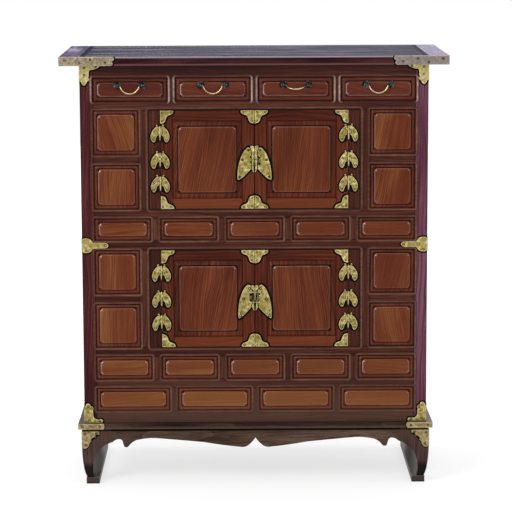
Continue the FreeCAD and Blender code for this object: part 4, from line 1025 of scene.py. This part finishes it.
CORNER_PLATE = outline(
    (0, 0), (38.5, 0),
    [(37.6, 5), (33.5, 10), (27, 13)],
    [(22.2, 14.8), (18.8, 18.5), (17.2, 23)],
    [(15, 29), (10.5, 35), (0, 38.4)],
)
CORNER_NAILS = ((6, 6), (30.5, 5), (6.5, 30))
DOOR_SHADOW_SKIRT = 5.4
LOCK_DROP = 102.0
# Half of a moth-shaped lock plate: its wing and raised body, its nails, and the wing's tone
Lock = namedtuple("Lock", "wing body nails tone")
LOCKS = {
    "upper": Lock(
        outline(
            (0.8, -12), (9, -11),
            [(13, -7.2), (17.5, -5), (22, -7.2)],
            [(31, -18), (38, -32), (44, -50), (47.8, -70), (49.2, -88), (49, -96)],
            [(47.4, -99.2), (43.5, -98)],
            [(36, -93.5), (29, -87.5), (22, -80), (16, -74), (12, -69)],
            (0.8, -69),
        ),
        outline(
            (0.8, -2), [(5, -0.2), (11.5, 0.5)],
            [(11.2, -6), (9.0, -12), (7.6, -18), (7.0, -25)],
            [(7.6, -34), (7.0, -46), (7.6, -58), (7.0, -66)],
            [(5.0, -74), (0.8, -79)],
        ),
        ((34, -41), (42.5, -90), (17, -13)), -0.06,
    ),
    "lower": Lock(
        outline(
            (0.8, -6), (9, -4),
            [(14, -1.2), (20, 0.3), (25.5, -3.5)],
            [(31, -10.5), (37, -22), (43, -40), (46.8, -60), (48.2, -80), (48, -95)],
            [(46.4, -98.6), (43, -97.5)],
            [(34, -90.5), (24, -80.5), (15, -71), (10, -65)],
            (0.8, -65),
        ),
        outline(
            (0.8, -3), [(4.5, -1.5), (9.5, 0.5)],
            [(10.2, -6), (9.6, -12)],
            [(6.6, -16), (5.6, -24), (5.2, -30)],
            (5.2, -52),
            [(7.6, -57), (8.2, -63), (6.0, -71), (0.8, -77)],
        ),
        ((33, -42), (41.5, -91), (16, -11)), -0.2,
    ),
}
# Left, low, right and high edge of the slot in each half
SLOTS = {
    ("upper", "left"): (8.2, -51, 12.6, -29), ("upper", "right"): (10.5, -56, 17.5, -29),
    ("lower", "left"): (8.0, -49, 15.5, -25), ("lower", "right"): (9.0, -52, 15.5, -24),
}


def moth(piece, nails, tier, word, top):
    """Half of the moth-shaped lock plate: wing, raised body, slot and staple."""
    lock = LOCKS[tier]
    face = front_face(0, top, SIDES[word])
    near = FRONT_GAP
    plate(piece, face, lock.wing, past(near), shadow_skirt=DOOR_SHADOW_SKIRT, tone=lock.tone)
    plate(piece, face, lock.body, past(near), 1.5, base=1.25, shadow_skirt=2.4, edge=0.7, tone=0.15)
    left, low, right, high = SLOTS[tier, word]
    slot = frame_loop((left, right), (low, high), 0, 1.4, False, 3)
    piece.rings([[face.at(across, up, out) for across, up in slot] for out in (0.9, 1.45)], DARK)
    centre, middle = (left + right) / 2, (low + high) / 2
    turns = [step * math.pi / 10 for step in range(11)]
    arch = [face.at(centre, middle + 5.6 * math.cos(turn), 1.1 + 4.6 * math.sin(turn)) for turn in turns]
    tube(piece, arch, 1.1, wear=0.3)
    if tier == "lower":
        for drop, reach in ((-21, 15.5), (-51, 13.5)):
            path = [face.at(value, drop, 3.6) for value in (near, reach - 1.6, reach)]
            tube(piece, [*path, face.at(reach, drop, 1.0)], 1.5, wear=0.7)
            dome(piece, face, reach, drop, 2.3, 1.0, BRASS, 3.8, wear=0.7)
        for across, up in lock.nails:
            nail(nails, face, across, up, size=1.2, shine=0.5)
    else:
        turns = [math.radians(-90 + 18 * part) for part in range(11)]
        boss = [
            [face.at(near + radius * math.cos(turn), -14 + radius * math.sin(turn), out) for turn in turns]
            for radius, out in ((3.6, 2.6), (1.1, 3.9))
        ]
        piece.rings(boss, wear=0.8)
        for up in (-24, -40, -58, -70):
            tube(piece, [face.at(value, up, 2.7) for value in (near, 7.4)], 0.55, DARK)
        for across, up in lock.nails:
            dome(nails, face, across, up, 4.2, 0.9, BRASS, 1.1, wear=-1.2)
    if word == "right":
        for up in (-31, -39, -47):
            dome(piece, face, centre + 1.2, up, 1.9, 1.4, BRASS, 1.45, wear=1.0)


def door(tier, word):
    side = SIDES[word]
    body = f"door_{tier}_{word}"
    tail = f"{tier}_{word}"
    bottom, top = within(ROWS[f"{tier}_tier"], FRONT_GAP)
    near, far = within((0, HINGE_LINE), FRONT_GAP)
    wood_frame = Piece(f"{body}_frame", body, "frame_wood", [frame_red], [f"door_frame_{tail}"])
    for start in (near, far - DOOR_STILE):
        x = mirrored(side, start, start + DOOR_STILE)
        bar(wood_frame, x, (bottom, top), True, DOOR_DEPTH, draw.uniform(0.0, 0.2), edge=-0.6)
    inner = mirrored(side, near + DOOR_STILE, far - DOOR_STILE)
    bar(wood_frame, inner, (bottom, bottom + DOOR_RAIL), False, DOOR_DEPTH, 0.5, edge=-0.5)
    bar(wood_frame, inner, (top - DOOR_RAIL, top), False, DOOR_DEPTH, -0.4, edge=-0.5)
    board = Piece(f"{body}_panel", body, "panel_wood", [field_red, frame_red], [f"door_panel_{tail}"])
    angle = draw.uniform(74, 78) if side < 0 else 90
    tone = draw.uniform(-0.05, 0.1) + (0.1 if tier == "upper" else -0.05)
    panel(board, inner, (bottom + DOOR_RAIL, top - DOOR_RAIL), "door", angle, tone, draw.uniform(-0.1, 0.1))
    plates = Piece(f"{body}_plates", body, "brass", [brass, black_and_shadow], [f"door_plates_{tail}"])
    nails = Piece(f"{body}_nails", body, "iron", [brass, black_and_shadow], [f"door_nails_{tail}"])
    for x_edge, inward in ((near, 1), (far, -1)):
        for z_edge, upward in ((bottom, 1), (top, -1)):
            face = Face((side * x_edge, FRONT, z_edge), (side * inward, 0, 0), (0, 0, upward), (0, -1, 0))
            plate(plates, face, CORNER_PLATE, held(0, 0, 60, 60), shadow_skirt=DOOR_SHADOW_SKIRT)
            for across, up in CORNER_NAILS:
                nail(nails, face, across, up, size=0.9)
    moth(plates, nails, tier, word, top - LOCK_DROP)
    leaves = Piece(f"{body}_hinges", body, "brass", [brass, black_and_shadow], [f"door_hinges_{tail}"])
    for height in hinge_heights(tier):
        half_hinge(leaves, nails, side * HINGE_LINE, height, -side, (1,))


for tier in TIERS:
    for word in SIDES:
        door(tier, word)


# Drawers

ROSETTE = (
    (11.6, 0.0), (11.8, 0.6), (11.0, 1.5), (9.6, 1.7), (8.6, 1.2), (7.6, 1.3), (6.2, 2.4), (4.6, 3.2),
    (3.4, 4.2), (2.7, 5.2), (2.7, 7.4), (3.4, 8.0),
)
BAIL_END = ((1.6, 0), (2.9, 0.3), (3.1, 1.2), (2.2, 2.2), (0.4, 2.6))
PULL_HALF = 35.0
EYE_OUT = 8
EYE_DROP = 20
EYE_RADIUS = 3.1
BAIL_START = 31.0
BAIL_BEND = 4.0
BAIL_DROP = 24.0
# How many of a bail's segments at each end are as dark as the eyes
DARK_SEGMENTS = 8
RAISED_ANGLE = {3: 64.0}


def bail_path():
    """The line of a bail in its own plane: across, and down from the eyes."""
    reach = (BAIL_START ** 2 / BAIL_DROP + BAIL_DROP) / 2
    bow_centre = reach - BAIL_BEND - BAIL_DROP
    bow_radius = reach - BAIL_BEND
    lean = math.atan2(bow_centre + BAIL_BEND, BAIL_START)
    half = [(-PULL_HALF - 5, 0.0), (-PULL_HALF, 0.0), (-BAIL_START - 0.5, 0.0)]
    for step in range(6):
        turn = math.pi / 2 + (lean - math.pi / 2) * step / 5
        half.append((-BAIL_START + BAIL_BEND * math.cos(turn), -BAIL_BEND + BAIL_BEND * math.sin(turn)))
    start = math.pi + lean
    for step in range(1, 12):
        turn = start + (1.5 * math.pi - start) * step / 12
        half.append((bow_radius * math.cos(turn), bow_centre + bow_radius * math.sin(turn)))
    return half + [(0.0, -BAIL_DROP)] + [(-across, up) for across, up in reversed(half)]


def drawer(number, x):
    body = f"drawer_{number}"
    z = within(ROWS["drawer_row"], FRONT_GAP)
    board = Piece(f"{body}_board", body, "panel_wood", [drawer_red, drawer_red], [f"drawer_front_{number}"])
    panel(board, within(x, FRONT_GAP), z, "drawer", draw.uniform(-6, 6), draw.uniform(-0.1, 0.1) - 0.1, 0.1)
    centre = (x[0] + x[1]) / 2
    eye_y, eye_z = FRONT - EYE_OUT, z[1] - EYE_DROP
    mounts = Piece(f"{body}_rosettes", body, "iron", [iron], [f"pull_mounts_{number}"])
    turns = [step * math.tau / 14 for step in range(15)]
    for side in SIDES.values():
        at = centre + side * PULL_HALF
        lathe(mounts, (at, FRONT + 1, eye_z), (0, -1, 0), ROSETTE, wear=0.05, around=20)
        # The eye's ring is lightened with a painted highlight
        ring = [
            (at, eye_y + EYE_RADIUS * math.cos(turn), eye_z + EYE_RADIUS * math.sin(turn)) for turn in turns
        ]
        tube(mounts, ring, 1.15, wear=0.9)
    bail = Piece(f"bail_{number}_wire", f"bail_{number}", "brass", [bail_brass, iron], [f"bail_{number}"])
    angle = math.radians(RAISED_ANGLE.get(number, 0.0))
    line = bail_path()
    path = [
        (centre + across, eye_y + up * math.sin(angle), eye_z + up * math.cos(angle)) for across, up in line
    ]
    radii = [2.05 - 0.45 * min(abs(across) / BAIL_START, 1.0) for across, _ in line]
    dark = [1] * DARK_SEGMENTS
    marks = dark + [0] * (len(path) - 1 - 2 * DARK_SEGMENTS) + dark
    tube(bail, path, radii, marks, around=12, wear=0.3)
    for side in SIDES.values():
        at = centre + side * (PULL_HALF + 4.4)
        lathe(bail, (at, eye_y, eye_z), (side, 0, 0), BAIL_END, 1, around=12, wear=0.8)


for number, x in enumerate(four_openings, 1):
    drawer(number, x)

for piece in pieces:
    piece.build()


# Floor, light and camera

def floor_material():
    """White where the camera looks, with a share of the real shading so that the shadow stays."""
    shader = new_material("studio_floor")
    matte = shader.node("BsdfDiffuse", Color=(0.86, 0.86, 0.86))
    glow = shader.node("Emission", Color=(1, 1, 1), Strength=1.35)
    distance = shader.node("VectorMath", i0=shader.node("TexCoord").outputs["Object"])
    distance.operation = "LENGTH"
    share = shader.times(shader.camera_rays(), shader.fade(distance.outputs["Value"], 1.2, 2.4, 0.526, 1.0))
    return shader.close(shader.node("MixShader", Fac=share, i1=matte.outputs[0], i2=glow.outputs[0]))


FLOOR_HALF = 9.0
FLOOR_HEIGHT = -0.0004
floor_corners = [
    (x * FLOOR_HALF, y * FLOOR_HALF, FLOOR_HEIGHT) for x, y in ((-1, -1), (1, -1), (1, 1), (-1, 1))
]
floor_mesh = bpy.data.meshes.new("floor")
floor_mesh.from_pydata(floor_corners, [], [(0, 1, 2, 3)])
floor_mesh.materials.append(floor_material())
floor = bpy.data.objects.new("floor", floor_mesh)
bpy.context.scene.collection.objects.link(floor)

world = bpy.data.worlds.new("studio")
bpy.context.scene.world = world
sky = Shader(world, "OutputWorld")
brightness = sky.fade(sky.camera_rays(), 0.0, 1.0, 0.42, 1.0)
sky.close(sky.node("Background", Color=(1, 1, 1), Strength=brightness))


def lamp(name, place, target, size, power):
    data = bpy.data.lights.new(name, "AREA")
    data.shape = "RECTANGLE"
    data.size, data.size_y = size
    data.energy = power
    item = bpy.data.objects.new(name, data)
    item.location = place
    item.rotation_euler = (Vector(target) - Vector(place)).to_track_quat("-Z", "Y").to_euler()
    bpy.context.scene.collection.objects.link(item)


lamp("key", (-2.6, -3.2, 3.0), (0, 0, 0.6), (1.8, 1.8), 95)
lamp("fill", (3.0, -3.4, 1.8), (0, 0, 0.6), (2.4, 2.4), 40)
lamp("overhead", (0, 0.4, 3.8), (0, 0, 0.8), (3.0, 2.2), 50)
lamp("behind", (0.5, 3.6, 2.2), (0, 0, 0.7), (2.4, 2.0), 45)

camera_data = bpy.data.cameras.new("camera")
camera_data.lens = 150.15
camera_data.sensor_width = 36
camera_data.shift_y = -0.05
camera_data.clip_end = 60
camera = bpy.data.objects.new("camera", camera_data)
camera.location = (-0.0496, -6.4229, 1.6696)
camera.rotation_euler = [math.radians(angle) for angle in (81.480, 0.215, -0.525)]
bpy.context.scene.collection.objects.link(camera)
bpy.context.scene.camera = camera
bpy.context.scene.view_settings.view_transform = "Standard"
